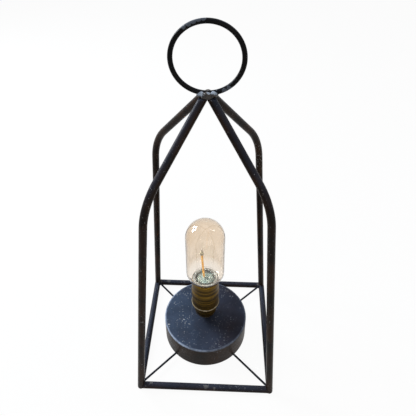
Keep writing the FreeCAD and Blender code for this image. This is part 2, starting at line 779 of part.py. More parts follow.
ringOf("holder_nipple", "nippleBottom", "nippleDia / 2", "nippleTop - nippleBottom",
       "nippleDia / 2 - nippleWall")
ringOf("nipple_washer", "drumCeiling - washerThick", "nippleDia / 2 + washerRim", "washerThick",
       "nippleHole")
ringOf("nipple_collar", "drumTop", "nippleDia / 2 + collarWall", "collarHeight", "nippleHole")
ringOf("cap_lock_nut", "capNeckTop + capWall", "nippleDia / 2 + lockNutWall", "lockNutThick", "nippleHole")
hexagon = doc.addObject("Part::Prism", "Hexagon")
hexagon.Polygon = 6
bind(hexagon, ".Circumradius", "nutFlats / sqrt(3)")
bind(hexagon, ".Height", "nutThick")
place(hexagon, z="nutBottom")
nutBore = cylinder("lampX", "lampY", "nutBottom", "nippleHole", "nutThick")
keep(cut(hexagon, nutBore), "nipple_nut")

# ---- lampholder: domed cap with a lip, barrel with a shallow bulge, and what is inside them
turn(newBody("holder_cap"), [
    ("nippleHole", "collarTop"),
    ("capNeckRadius", "collarTop"),
    ("capNeckRadius", "capNeckTop", "capDomeBend"),
    ("capDomeRadius", "collarTop + capDomeHeight"),
    ("capDomeRadius", "lipBottom - (lipRadius - capDomeRadius) / 2"),
    ("lipRadius", "lipBottom"),
    ("lipRadius", "capMouth"),
    ("barrelRadius + lipAir", "capMouth"),
    ("barrelRadius + lipAir", "lipSeat"),
    ("capDomeRadius - capWall", "lipSeat"),
    ("capDomeRadius - capWall", "collarTop + capDomeHeight", "-(capDomeBend - capWall)"),
    ("capNeckRadius", "capNeckTop + capWall"),
    ("nippleHole", "capNeckTop + capWall"),
])
turn(newBody("holder_barrel"), [
    ("barrelRadius", "barrelBottom"),
    ("barrelRadius", "barrelBottom + bulgeStart", "bulgeBend"),
    ("barrelRadius", "barrelBottom + bulgeStart + bulgeLength"),
    ("barrelRadius", "barrelTop - mouthCurl", "mouthCurl"),
    ("barrelRadius - mouthCurl", "barrelTop"),
    ("barrelRadius - mouthCurl", "barrelTop - barrelWall", "-(mouthCurl - barrelWall)"),
    ("barrelBore", "barrelTop - mouthCurl"),
    ("barrelBore", "barrelBottom"),
])
ringOf("insulating_sleeve", "barrelBottom + lipAir", "sleeveRadius", "barrelLength - sleeveShort",
       "sleeveBore")
turn(newBody("holder_insulator"), [
    ("insulatorRadius - insulatorWall", "barrelBottom"),
    ("insulatorRadius", "barrelBottom"),
    ("insulatorRadius", "insulatorTop"),
    ("0", "insulatorTop"),
    ("0", "insulatorTop - insulatorFloor"),
    ("insulatorRadius - insulatorWall", "insulatorTop - insulatorFloor"),
])
turn(newBody("screw_liner"), [
    ("linerRadius - linerFloorWidth", "insulatorTop"),
    ("linerRadius + linerWall", "insulatorTop"),
    ("linerRadius + linerWall", "barrelTop - linerDrop"),
    ("linerRadius", "barrelTop - linerDrop"),
    ("linerRadius", "insulatorTop + linerWall"),
    ("linerRadius - linerFloorWidth", "insulatorTop + linerWall"),
])
button = cylinder("lampX", "lampY", "insulatorTop", "buttonRadius", "buttonHeight")
keep(button, "centre_contact")

# ---- bulb: screw cap, glass plug, contact, glass, and the mount with its filament
capThread = []
for index in range(threadTurns):
    valley = "bulbCapBottom + threadStart + threadPitch * %d" % index
    capThread.append(("bulbCapRadius", valley))
    capThread.append(("bulbCapRadius - threadDepth", valley + " + threadPitch / 2"))
lastCrest = "bulbCapBottom + threadStart + threadPitch * %d" % threadTurns
turn(newBody("bulb_cap"), [
    ("bulbCapEndRadius - bulbCapWall", "bulbCapBottom"),
    ("bulbCapEndRadius", "bulbCapBottom"),
    ("bulbCapRadius - threadDepth", "bulbCapBottom + bulbCapTaper"),
] + capThread + [
    ("bulbCapRadius", lastCrest),
    ("bulbRimRadius", "rimBottom"),
    ("bulbRimRadius", "rimTop"),
    ("neckRadius + mountAir", "rimTop"),
    ("neckRadius + mountAir", "neckBottom"),
    ("capBore", "neckBottom"),
    ("capBore", "bulbCapBottom + bulbCapTaper"),
])
turn(newBody("bulb_glass_plug"), [
    ("0", "plugBottom"),
    ("bulbContactRadius", "plugBottom"),
    ("bulbCapEndRadius", "bulbCapBottom"),
    ("0", "bulbCapBottom"),
])
bulbContact = cylinder("lampX", "lampY", "bulbBottom", "bulbContactRadius", "bulbContactHeight")
keep(bulbContact, "bulb_contact")
turn(newBody("bulb_glass"), [
    ("neckRadius", "neckBottom"),
    ("neckRadius", "glassFootZ - glassFoot / 2"),
    ("glassFootRadius", "glassFootZ", "bulbShoulder"),
    ("bulbRadius", "shoulderZ"),
    ("bulbRadius", "domeZ", "bulbRadius"),
    ("0", "bulbTop"),
    ("0", "bulbTop - glassThick", "-(bulbRadius - glassThick)"),
    ("bulbRadius - glassThick", "domeZ"),
    ("bulbRadius - glassThick", "shoulderZ", "-insideShoulder"),
    ("glassInsideFoot", "glassFootZ + glassThick"),
    ("neckBore", "glassFootZ - glassFoot / 2 + glassThick"),
    ("neckBore", "neckBottom"),
])
turn(newBody("bulb_mount"), [
    ("0", "mountBottom"),
    ("mountRadius", "mountBottom"),
    ("mountRadius", "mountTop"),
    ("mountStepRadius", "mountTop"),
    ("mountStepRadius", "mountStepTop"),
    ("mountHubRadius", "mountStepTop"),
    ("mountPostRadius", "mountStepTop + mountStep"),
    ("mountPostRadius", "postTop"),
    ("0", "postTop"),
])
axisX = number("lampX")
axisY = number("lampY")
filamentFoot = vector(axisX + number("filamentShift"), axisY, number("postTop + filamentFootAir"))
leaning = FreeCAD.Rotation(vector(0, 1, 0), -number("filamentLean"))
filamentAxis = leaning.multVec(upwards)
filament = Part.makeCylinder(number("filamentDia") / 2, number("filamentLength"),
                             filamentFoot, filamentAxis)
shapeFeature("led_filament", filament)
beadCentre = filamentFoot + filamentAxis * number("filamentLength + filamentAir + beadDia / 2")
shapeFeature("filament_bead", Part.makeSphere(number("beadDia") / 2, beadCentre))
wireTop = number("wireAbove") + number("beadDia") / 2
behind = vector(0, number("wireBack"), 0)
wireFoot = vector(filamentFoot.x, axisY, number("mountStepTop")) + behind
wirePoints = [
    wireFoot,
    beadCentre + behind + upwards * wireTop,
    beadCentre + upwards * wireTop,
    beadCentre + upwards * (number("beadDia") / 2 + number("filamentAir")),
]
shapeFeature("support_wire", bentRod(wirePoints, number("wireBend"), number("wireDia")))

# ---- two leads: from the board up under the drum's top, through the nipple, to the insulator
for name, side in (("live", -1), ("return", 1)):
    shift = side * number("leadSpread")
    boardZ = number("coverTop + boardThick")
    halfway = number("bayTop + bayWall + nippleBottom") / 2
    startX = axisX + number("boardX")
    startY = axisY + number("boardY") + shift
    leadPoints = [
        vector(startX, startY, boardZ),
        vector(startX, startY, halfway),
        vector(axisX - number("leadRun"), axisY + shift, halfway),
        vector(axisX, axisY + shift, halfway),
        vector(axisX, axisY + shift, number("insulatorTop - insulatorFloor")),
    ]
    shapeFeature("lead_" + name, bentRod(leadPoints, number("leadBend"), number("leadDia")))

# ---- check everything, then write one file for each sub-part
doc.recompute()
for item in doc.Objects:
    if "Invalid" in item.State or "Error" in item.State:
        raise ValueError(item.Label + " failed: " + " ".join(item.State))
os.makedirs("parts", exist_ok=True)
for item in subParts:
    shape = item.Shape
    if shape.isNull() or not shape.isValid() or not shape.Solids:
        raise ValueError(item.Label + " has no valid solid")
    box = shape.BoundBox
    print("%-22s %d solid(s), volume %10.1f, x %.2f to %.2f, y %.2f to %.2f, z %.2f to %.2f" % (
        item.Label, len(shape.Solids), shape.Volume,
        box.XMin, box.XMax, box.YMin, box.YMax, box.ZMin, box.ZMax))
for item in subParts:
    item.Shape.exportStep(os.path.join("parts", item.Label + ".step"))
print("%d sub-parts written" % len(subParts))
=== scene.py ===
import math

import bmesh
import bpy
from mathutils import Matrix, Vector, noise


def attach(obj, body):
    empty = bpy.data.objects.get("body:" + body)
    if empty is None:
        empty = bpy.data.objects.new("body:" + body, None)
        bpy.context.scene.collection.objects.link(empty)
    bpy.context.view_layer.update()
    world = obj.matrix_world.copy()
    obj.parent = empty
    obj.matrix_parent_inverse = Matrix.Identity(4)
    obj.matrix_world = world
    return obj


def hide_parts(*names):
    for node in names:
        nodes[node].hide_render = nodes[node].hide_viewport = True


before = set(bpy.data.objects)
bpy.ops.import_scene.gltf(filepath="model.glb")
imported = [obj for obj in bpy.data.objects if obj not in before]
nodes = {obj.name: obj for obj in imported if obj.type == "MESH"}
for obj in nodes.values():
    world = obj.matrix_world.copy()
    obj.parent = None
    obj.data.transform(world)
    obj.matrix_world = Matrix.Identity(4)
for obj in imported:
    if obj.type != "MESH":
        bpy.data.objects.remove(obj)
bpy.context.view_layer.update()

mm = 0.001
lampAxis = (-2.6, 4.0)  # millimetres, where the drum, holder and bulb stand
lampCentre = (lampAxis[0] * mm, lampAxis[1] * mm, 0.0)
origin = (0.0, 0.0, 0.0)
print("frame loaded")


def addObject(name, data):
    thing = bpy.data.objects.new(name, data)
    bpy.context.collection.objects.link(thing)
    return thing


# camera, at the height and slant the lamp is seen from
cameraSet = {
    "spot": (0.013536, -0.342019, 0.515629), "turn": -0.039, "tilt": 0.608, "lens": 37.07, "sensor": 36,
    "shift": (0.0012, -0.1107), "nearest": 0.01,
}


def setUpCamera():
    data = bpy.data.cameras.new("lampCamera")
    data.sensor_width = cameraSet["sensor"]
    data.lens = cameraSet["lens"]
    data.shift_x, data.shift_y = cameraSet["shift"]
    data.clip_start = cameraSet["nearest"]
    camera = addObject("lampCamera", data)
    turn, tilt = cameraSet["turn"], cameraSet["tilt"]
    ahead = Vector((math.sin(turn) * math.cos(tilt), math.cos(turn) * math.cos(tilt), -math.sin(tilt)))
    right = Vector((math.cos(turn), -math.sin(turn), 0))
    facing = Matrix((right, right.cross(ahead), -ahead)).transposed().to_4x4()
    camera.matrix_world = Matrix.Translation(cameraSet["spot"]) @ facing
    bpy.context.scene.camera = camera


setUpCamera()
print("camera placed")


# small helpers for node trees and colours
def shade(red, green, blue):
    # a colour as a paint chart gives it, 0 to 255, made linear
    def linear(part):
        part /= 255
        return part / 12.92 if part < 0.04045 else ((part + 0.055) / 1.055) ** 2.4
    return (linear(red), linear(green), linear(blue), 1.0)


def addNode(tree, kind, inputs=None, **settings):
    # an input is joined when it is given a socket, and set when it is given a plain value
    node = tree.nodes.new(kind)
    for key, value in settings.items():
        setattr(node, key, value)
    for key, value in (inputs or {}).items():
        if isinstance(value, bpy.types.NodeSocket):
            tree.links.new(value, node.inputs[key])
        else:
            node.inputs[key].default_value = value
    return node


def calc(tree, operation, *values, clamp=False):
    inputs = dict(enumerate(values))
    return addNode(tree, "ShaderNodeMath", inputs, operation=operation, use_clamp=clamp).outputs[0]


def times(tree, first, second, clamp=False):
    return calc(tree, "MULTIPLY", first, second, clamp=clamp)


def minus(tree, first, second, clamp=False):
    return calc(tree, "SUBTRACT", first, second, clamp=clamp)


def timesPlus(tree, value, factor, added, clamp=False):
    return calc(tree, "MULTIPLY_ADD", value, factor, added, clamp=clamp)


def calcVector(tree, operation, *values, output=0):
    inputs = dict(enumerate(values))
    return addNode(tree, "ShaderNodeVectorMath", inputs, operation=operation).outputs[output]


def lengthOf(tree, vector):
    return calcVector(tree, "LENGTH", vector, output=1)


def partsOf(tree, vector):
    return addNode(tree, "ShaderNodeSeparateXYZ", {0: vector}).outputs


def vectorOf(tree, x=0.0, y=0.0, z=0.0):
    return addNode(tree, "ShaderNodeCombineXYZ", {0: x, 1: y, 2: z}).outputs[0]


def ramp(tree, value, low, high, start=0.0, stop=1.0):
    # smooth step from low to high
    return addNode(tree, "ShaderNodeMapRange",
                   {0: value, 1: low, 2: high, 3: start, 4: stop}, interpolation_type="SMOOTHSTEP").outputs[0]


def blend(tree, factor, first, second):
    return addNode(tree, "ShaderNodeMix", {0: factor, 6: first, 7: second}, data_type="RGBA").outputs[2]


def cloud(tree, vector, scale, detail=3.0, roughness=0.5, stretch=None):
    if stretch is not None:
        vector = addNode(tree, "ShaderNodeMapping", {"Vector": vector, "Scale": stretch}).outputs[0]
    return addNode(tree, "ShaderNodeTexNoise",
                   {"Vector": vector, "Scale": scale, "Detail": detail, "Roughness": roughness}).outputs[0]


def patches(tree, vector, grain, contrast):
    # a cloud drawn out between two levels
    return ramp(tree, cloud(tree, vector, *grain), *contrast)


def addSocket(tree, label, kind, way="INPUT"):
    return tree.interface.new_socket(label, in_out=way, socket_type="NodeSocket" + kind)


def addInputs(tree, inputs):
    # the kind of each input follows from its plain value
    for label, value in inputs.items():
        kind = {float: "Float", int: "Int", tuple: "Vector"}[type(value)]
        addSocket(tree, label, kind).default_value = value


def newGroup(name, inputs, outputs):
    group = bpy.data.node_groups.new(name, "ShaderNodeTree")
    addInputs(group, inputs)
    for label in outputs:
        addSocket(group, label, "Float", "OUTPUT")
    return group, group.nodes.new("NodeGroupInput").outputs, group.nodes.new("NodeGroupOutput").inputs


def placeGroup(tree, group, vector, *settings):
    inputs = {"Vector": vector}
    for values in settings:
        inputs.update(values)
    return addNode(tree, "ShaderNodeGroup", inputs, node_tree=group).outputs


# effects that several finishes share
effectSet = {
    "cluster": (0.45, 0.7), "chipSpread": -0.3, "chipLimit": 0.74, "chipEdge": (0.0, 0.03),
    "lying": (0.15, 1.0), "patchy": (0.25, 0.75, 0.55, 1.0), "gather": ((34.0, 3.0, 0.55), (0.4, 0.68)),
    "fewLarge": 5.0, "speckEdge": (-0.04, 0.06), "speckLying": (-0.2, 0.6),
    "scratchRuns": ((0.5, (1.0, 0.12, 1.0)), (2.1, (1.0, 0.09, 1.0))),  # turn and stretch
    "scratchBreaks": ((45.0, 2.0), (0.52, 0.62)), "rimBreaks": ((240.0, 4.0, 0.6), (0.35, 0.65)),
    "raggedEdge": (0.3, 0.48),
}


def nearness(tree, distance, reach):
    # 1 at no distance, 0 at the reach and beyond
    return minus(tree, 1.0, calc(tree, "DIVIDE", distance, reach), clamp=True)


def makeBrushSkin():
    # soft waves of brushed or sprayed paint, with a finer grain on them
    group, given, result = newGroup("brushSkin", {
        "Vector": origin, "Wave Scale": 60.0, "Grain Scale": 900.0, "Grain": 0.3}, ["Height"])
    wave = cloud(group, given["Vector"], given["Wave Scale"], 2.0)
    grain = cloud(group, given["Vector"], given["Grain Scale"], 2.0)
    group.links.new(timesPlus(group, grain, given["Grain"], wave), result["Height"])
    return group


def makePaintChips():
    # small bare spots where paint has come off, in loose clusters
    group, given, result = newGroup("paintChips", {
        "Vector": origin, "Scale": 300.0, "Cluster Scale": 35.0, "Amount": 0.3}, ["Mask"])
    cluster = patches(group, given["Vector"], (given["Cluster Scale"], 3.0, 0.6), effectSet["cluster"])
    spots = cloud(group, given["Vector"], given["Scale"], 4.0, 0.65)
    spread = times(group, cluster, given["Amount"])
    limit = timesPlus(group, spread, effectSet["chipSpread"], effectSet["chipLimit"])
    group.links.new(ramp(group, minus(group, spots, limit), *effectSet["chipEdge"]), result["Mask"])
    return group


def makeDustFall():
    # a thin uneven film on what faces up, partly dust and partly painted sky reflection that makes the tops
    # lighter and bluer, with pale dust specks in it
    group, given, result = newGroup("dustFall", {
        "Vector": origin, "Normal": origin, "Film": 0.5, "Film Scale": 25.0, "Speck Scale": 900.0,
        "Speck Size": 0.4, "Gather": 0.5}, ["Film", "Specks"])
    lift = partsOf(group, given["Normal"])[2]
    patchy = patches(group, given["Vector"], (given["Film Scale"], 5.0, 0.6), effectSet["patchy"])
    lying = times(group, ramp(group, lift, *effectSet["lying"]), patchy)
    group.links.new(times(group, lying, given["Film"], clamp=True), result["Film"])
    cells = addNode(group, "ShaderNodeTexVoronoi",
                    {"Vector": given["Vector"], "Scale": given["Speck Scale"], "Randomness": 1.0})
    pick = addNode(group, "ShaderNodeSeparateColor", {0: cells.outputs["Color"]}).outputs[0]
    gathered = patches(group, given["Vector"], *effectSet["gather"])
    amount = timesPlus(group, gathered, given["Gather"], minus(group, 1.0, given["Gather"]))
    largest = times(group, given["Speck Size"], amount)
    size = times(group, calc(group, "POWER", pick, effectSet["fewLarge"]), largest)
    speck = ramp(group, minus(group, size, cells.outputs["Distance"]), *effectSet["speckEdge"])
    group.links.new(times(group, speck, ramp(group, lift, *effectSet["speckLying"])), result["Specks"])
    return group


def makeHairScratches():
    # thin lines: the level lines of a long stretched noise, seen in two directions
    group, given, result = newGroup("hairScratches", {
        "Vector": origin, "Scale": 60.0, "Width": 0.006, "Amount": 0.5}, ["Mask"])
    lines = []
    for turn, stretch in effectSet["scratchRuns"]:
        spun = addNode(group, "ShaderNodeMapping",
                       {"Vector": given["Vector"], "Rotation": (0, 0, turn), "Scale": stretch}).outputs[0]
        away = calc(group, "ABSOLUTE", minus(group, cloud(group, spun, given["Scale"], 1.0), 0.5))
        line = nearness(group, away, given["Width"])
        lines.append(times(group, line, patches(group, spun, *effectSet["scratchBreaks"])))
    group.links.new(times(group, calc(group, "MAXIMUM", *lines), given["Amount"]), result["Mask"])
    return group


def makeRimWear():
    # wear and a painted highlight on a turned part's edge: a ring at one radius and height about the upright
    # axis at Centre
    group, given, result = newGroup("rimWear", {
        "Vector": origin, "Centre": origin, "Radius": 0.05, "Height": 0.03, "Width": 0.001, "Breakup": 0.5},
        ["Mask"])
    local = partsOf(group, calcVector(group, "SUBTRACT", given["Vector"], given["Centre"]))
    across = minus(group, lengthOf(group, vectorOf(group, local[0], local[1])), given["Radius"])
    gap = lengthOf(group, vectorOf(group, across, minus(group, local[2], given["Height"])))
    gone = minus(group, 1.0, patches(group, given["Vector"], *effectSet["rimBreaks"]))
    kept = minus(group, 1.0, times(group, given["Breakup"], gone))
    group.links.new(times(group, nearness(group, gap, given["Width"]), kept), result["Mask"])
    return group


def makeLocalWear():
    # a spot strongest at Centre, gone at Radius, with a ragged edge: rubbed or burnt spots, and painted
    # highlights on the ring and the weld
    group, given, result = newGroup("localWear", {
        "Vector": origin, "Centre": origin, "Radius": 0.005, "Ragged Scale": 500.0, "Ragged": 0.6}, ["Mask"])
    gap = lengthOf(group, calcVector(group, "SUBTRACT", given["Vector"], given["Centre"]))
    rough = cloud(group, given["Vector"], given["Ragged Scale"], 4.0, 0.65)
    near = nearness(group, gap, given["Radius"])
    level = timesPlus(group, minus(group, rough, 0.5), given["Ragged"], near)
    group.links.new(ramp(group, level, *effectSet["raggedEdge"]), result["Mask"])
    return group


brushSkin = makeBrushSkin()
paintChips = makePaintChips()
dustFall = makeDustFall()
hairScratches = makeHairScratches()
rimWear = makeRimWear()
localWear = makeLocalWear()
print("shared effects ready")


# finishes: a cloud is (scale, detail, roughness, stretch), a bump is (strength, height)
def startFinish(name, plain):
    material = bpy.data.materials.new(name)
    material.use_nodes = True
    tree = material.node_tree
    shader = tree.nodes["Principled BSDF"]
    for key, value in plain.items():
        shader.inputs[key].default_value = value
    return material, tree, shader, addNode(tree, "ShaderNodeTexCoord").outputs["Object"]


def endFinish(tree, shader, colour, rough, height, bump):
    tree.links.new(colour, shader.inputs["Base Color"])
    if rough is not None:
        tree.links.new(rough, shader.inputs["Roughness"])
    relief = addNode(tree, "ShaderNodeBump", {"Height": height, "Strength": bump[0], "Distance": bump[1]})
    tree.links.new(relief.outputs[0], shader.inputs["Normal"])


def facingOf(tree):
    return addNode(tree, "ShaderNodeTexCoord").outputs["Normal"]


def wornSpots(tree, place, spots, ragged):
    # one mask for each spot; centre and radius in millimetres
    return [placeGroup(tree, localWear, place, ragged, {
        "Centre": [part * mm for part in centre], "Radius": radius * mm})["Mask"] for centre, radius in spots]


# the brown mottled into the black paint is partly the paint's own tone and partly a painted reflection of a
# warm room on the sides
rodPaintSet = {
    # the blue-grey film colours of upward faces are partly dust and partly painted sky reflection
    "blackRodPaint": {
        "paint": shade(12, 8, 6), "brown": shade(44, 27, 14), "dust": shade(50, 57, 72),
        "chip": shade(120, 118, 116), "film": 0.85, "chips": 0.5, "rough": 0.2, "shine": 0.07, "speck": 0.46,
        "ragged": 2.0, "bared": 0.5,
        "worn": [((-27, 26, 318), 4.5), ((-31, 28, 315), 3.5), ((2, -78, 8), 4.0), ((11, -79, 7), 2.5),
                 ((-64, -76, 8), 3.0), ((-60, 76, 8), 4.0), ((72, 74, 8), 5.0), ((-73, 74, 8), 5.0)],
    },
    # the ring's bluish chip colour and its spots along the top-left arc and at the lower right are painted
    # highlights
    "blackRingPaint": {
        "paint": shade(4, 4, 5), "brown": shade(14, 11, 10), "dust": shade(34, 38, 48),
        "chip": shade(150, 160, 176), "film": 0.5, "chips": 0.4, "rough": 0.1, "shine": 0.06, "speck": 0.36,
        "ragged": 0.5, "bared": 0.3,
        "worn": [((-33, -1, 381), 1.2), ((15, -2, 354.5), 3.6), ((19, -2, 357), 3.6), ((-3, -1, 416), 3.4),
                 ((-7, -1, 415), 3.6), ((-11, -1, 413.6), 3.8), ((-15, -1, 411.6), 3.8), ((-19, -1, 409), 3.6)],
    },
    "thinStayPaint": {
        "paint": shade(8, 8, 10), "brown": shade(24, 20, 18), "dust": shade(44, 50, 64),
        "chip": shade(110, 110, 112), "film": 0.7, "chips": 0.35, "rough": 0.2, "shine": 0.08, "speck": 0.3,
        "ragged": 2.0, "bared": 0.7, "worn": [((-36, -35, 5), 4.0), ((34, -34, 5), 4.0)],
    },
}
rodPaintSet["crustyBead"] = {
    **rodPaintSet["blackRodPaint"], "paint": shade(24, 24, 27), "chip": shade(168, 166, 160), "chips": 1.0,
    "speck": 0.9, "worn": []}
rodPaintSet["wornCollar"] = {
    **rodPaintSet["blackRodPaint"], "paint": shade(88, 90, 95), "brown": shade(104, 102, 100), "chips": 0.9,
    "worn": []}
rodSkinSet = {
    "skin": {"Wave Scale": 110.0, "Grain Scale": 1400.0, "Grain": 0.35},
    "chips": {"Scale": 520.0, "Cluster Scale": 28.0}, "dust": {"Speck Scale": 800.0, "Gather": 0.7},
    "mottle": ((42.0, 4.0, 0.6), (0.3, 0.7)), "raggedScale": 420.0, "speckColour": shade(150, 152, 156),
    "speckShare": 0.8, "roughByWave": 0.16, "roughByDust": 0.2, "chipDepth": 0.5, "bump": (0.35, 0.6 * mm),
}


def makeRodPaint(name, chosen):
    shared = rodSkinSet
    material, tree, shader, place = startFinish(name, {"Specular IOR Level": chosen["shine"]})
    skin = placeGroup(tree, brushSkin, place, shared["skin"])["Height"]
    chips = placeGroup(tree, paintChips, place, shared["chips"], {"Amount": chosen["chips"]})["Mask"]
    dust = placeGroup(tree, dustFall, place, shared["dust"], {
        "Normal": facingOf(tree), "Film": chosen["film"], "Speck Size": chosen["speck"]})
    # painted reflection, partly the paint's tone: black mottled with brown
    colour = blend(tree, patches(tree, place, *shared["mottle"]), chosen["paint"], chosen["brown"])
    # painted sky reflection, partly dust: upward faces are blended towards the blue-grey film colour
    colour = blend(tree, dust["Film"], colour, chosen["dust"])
    ragged = {"Ragged Scale": shared["raggedScale"], "Ragged": chosen["ragged"]}
    # worn spots, which on the ring are painted highlights, join the chips in the chip colour
    for spot in wornSpots(tree, place, chosen["worn"], ragged):
        chips = calc(tree, "MAXIMUM", chips, times(tree, spot, chosen["bared"]))
    colour = blend(tree, chips, colour, chosen["chip"])
    specks = times(tree, dust["Specks"], shared["speckShare"])
    colour = blend(tree, specks, colour, shared["speckColour"])
    rough = timesPlus(tree, skin, shared["roughByWave"], chosen["rough"])
    rough = timesPlus(tree, dust["Film"], shared["roughByDust"], rough, clamp=True)
    height = minus(tree, skin, times(tree, chips, shared["chipDepth"]))
    endFinish(tree, shader, colour, rough, height, shared["bump"])
    return material


burntWeldSet = {
    "scale": shade(26, 26, 30), "steel": shade(150, 162, 178), "brown": shade(58, 50, 44),
    "plain": {"Specular IOR Level": 0.3}, "ragged": {"Ragged Scale": 300.0, "Ragged": 1.0},
    # the bright spots are painted highlights, partly bare steel
    "bright": [((-6.6, -2.4, 351.8), 5.2), ((6.2, -1.8, 352.4), 4.6), ((1.4, -3.4, 352.6), 3.0)],
    "patch": (330.0, 4.0, 0.6), "contrast": (0.35, 0.65), "facing": (-0.1, 0.5), "metal": 0.35,
    "roughByPatch": 0.35, "rough": 0.2, "relief": (420.0, 3.0, 0.5), "bump": (0.4, 0.6 * mm),
}


def makeBurntWeld():
    # half bare, half painted weld metal: silvery on the upward faces of the humps, partly bare steel and partly
    # painted highlight, scaled and brown between them
    chosen = burntWeldSet
    material, tree, shader, place = startFinish("burntWeldMetal", chosen["plain"])
    patch = cloud(tree, place, *chosen["patch"])
    colour = blend(tree, ramp(tree, patch, *chosen["contrast"]), chosen["scale"], chosen["brown"])
    bare, *others = wornSpots(tree, place, chosen["bright"], chosen["ragged"])
    for spot in others:
        bare = calc(tree, "MAXIMUM", bare, spot)
    # painted highlight, partly bare steel: only upward faces take the silvery colour
    bare = times(tree, bare, ramp(tree, partsOf(tree, facingOf(tree))[2], *chosen["facing"]))
    tree.links.new(times(tree, bare, chosen["metal"]), shader.inputs["Metallic"])
    endFinish(tree, shader, blend(tree, bare, colour, chosen["steel"]),
              timesPlus(tree, patch, chosen["roughByPatch"], chosen["rough"]),
              cloud(tree, place, *chosen["relief"]), chosen["bump"])
    return material


drumPaintSet = {
    # on top the film colour goes from dim to bright blue-grey from right to left, a painted sheen of the window
    # light, partly dust
    "paint": shade(13, 9, 6), "brown": shade(48, 31, 18), "dust": shade(66, 80, 102), "thin": shade(46, 50, 64),
    "bare": shade(172, 186, 210), "scratch": shade(130, 136, 148), "speck": shade(192, 196, 202),
    "plain": {"Specular IOR Level": 0.06}, "skin": {"Wave Scale": 70.0, "Grain Scale": 900.0, "Grain": 0.9},
    "film": {"Film": 1.0, "Film Scale": 38.0, "Speck Scale": 820.0, "Speck Size": 0.62, "Gather": 0.6},
    "marks": {"Scale": 52.0, "Width": 0.01, "Amount": 0.8}, "markShare": 0.5, "markDepth": 0.4,
    "rim": {"Centre": lampCentre, "Radius": 52.2 * mm, "Height": 32.1 * mm, "Width": 1.9 * mm, "Breakup": 0.55},
    "chips": {"Scale": 420.0, "Cluster Scale": 30.0, "Amount": 0.35}, "chipShare": 0.8,
    "mottle": ((30.0, 4.0, 0.6), (0.3, 0.75)), "dusty": (34 * mm, -44 * mm), "leftGain": 0.6, "leftLeast": 0.4,
    "roughByWave": 0.12, "rough": 0.26, "roughByDust": 0.14, "bump": (0.5, 0.6 * mm),
}


def makeDrumPaint():
    # the film on top is painted lighter and bluer towards the left, a painted sheen of the window light there,
    # and the specks and the rim's painted highlight show more on the left; the rim is rubbed bare in places
    chosen = drumPaintSet
    material, tree, shader, place = startFinish("blueBlackDrumPaint", chosen["plain"])
    skin = placeGroup(tree, brushSkin, place, chosen["skin"])["Height"]
    dust = placeGroup(tree, dustFall, place, chosen["film"], {"Normal": facingOf(tree)})
    marks = placeGroup(tree, hairScratches, place, chosen["marks"])["Mask"]
    worn = placeGroup(tree, rimWear, place, chosen["rim"])["Mask"]
    chips = placeGroup(tree, paintChips, place, chosen["chips"])["Mask"]
    # painted sheen: a share that rises from right to left, towards the window light
    across = ramp(tree, partsOf(tree, place)[0], *chosen["dusty"])
    leftSide = timesPlus(tree, across, chosen["leftGain"], chosen["leftLeast"])
    # painted reflection, partly the paint's tone: black mottled with brown on the side
    colour = blend(tree, patches(tree, place, *chosen["mottle"]), chosen["paint"], chosen["brown"])
    # the film colour is painted brighter towards the left, as a sheen
    film = blend(tree, across, chosen["thin"], chosen["dust"])
    # upward faces take the film colour: partly dust, partly painted sky reflection
    colour = blend(tree, dust["Film"], colour, film)
    # the rim ring's bluish-white colour is a painted highlight, partly bare metal, stronger on the left
    for mask, share, tone in ((marks, chosen["markShare"], "scratch"), (worn, leftSide, "bare"),
                              (chips, chosen["chipShare"], "scratch"), (dust["Specks"], leftSide, "speck")):
        colour = blend(tree, times(tree, mask, share), colour, chosen[tone])
    rough = timesPlus(tree, skin, chosen["roughByWave"], chosen["rough"])
    rough = timesPlus(tree, dust["Film"], chosen["roughByDust"], rough, clamp=True)
    height = minus(tree, skin, times(tree, marks, chosen["markDepth"]))
    endFinish(tree, shader, colour, rough, height, chosen["bump"])
    return material


brassSet = {
    "agedHolderBrass": {"clean": shade(110, 85, 31), "brown": shade(52, 38, 11), "black": shade(20, 15, 6),
                        "rubbed": shade(226, 216, 192), "rough": 0.26, "dark": 0.45},
    "bareNippleBrass": {"clean": shade(190, 158, 92), "brown": shade(128, 98, 50), "black": shade(60, 46, 28),
                        "rubbed": shade(210, 190, 140), "rough": 0.2, "dark": 0.1},
}
brassSkinSet = {
    "plain": {"Metallic": 0.8, "Specular IOR Level": 0.12},
    "bands": ((55.0, 3.0, 0.6, (0.16, 0.16, 6.0)), (0.32, 0.66)), "fine": (220.0, 2.0, 0.5, (0.1, 0.1, 8.0)),
    "cloudy": (50.0, 5.0, 0.6), "fineShare": 0.35, "cloudShare": 0.75, "stain": (0.62, 0.34),
    "lip": {"Centre": lampCentre, "Radius": 17.3 * mm, "Height": 61.9 * mm, "Width": 1.0 * mm, "Breakup": 0.5},
    "roughByCloud": 0.25, "bumpFine": 0.5, "bump": (0.15, 0.3 * mm),
}


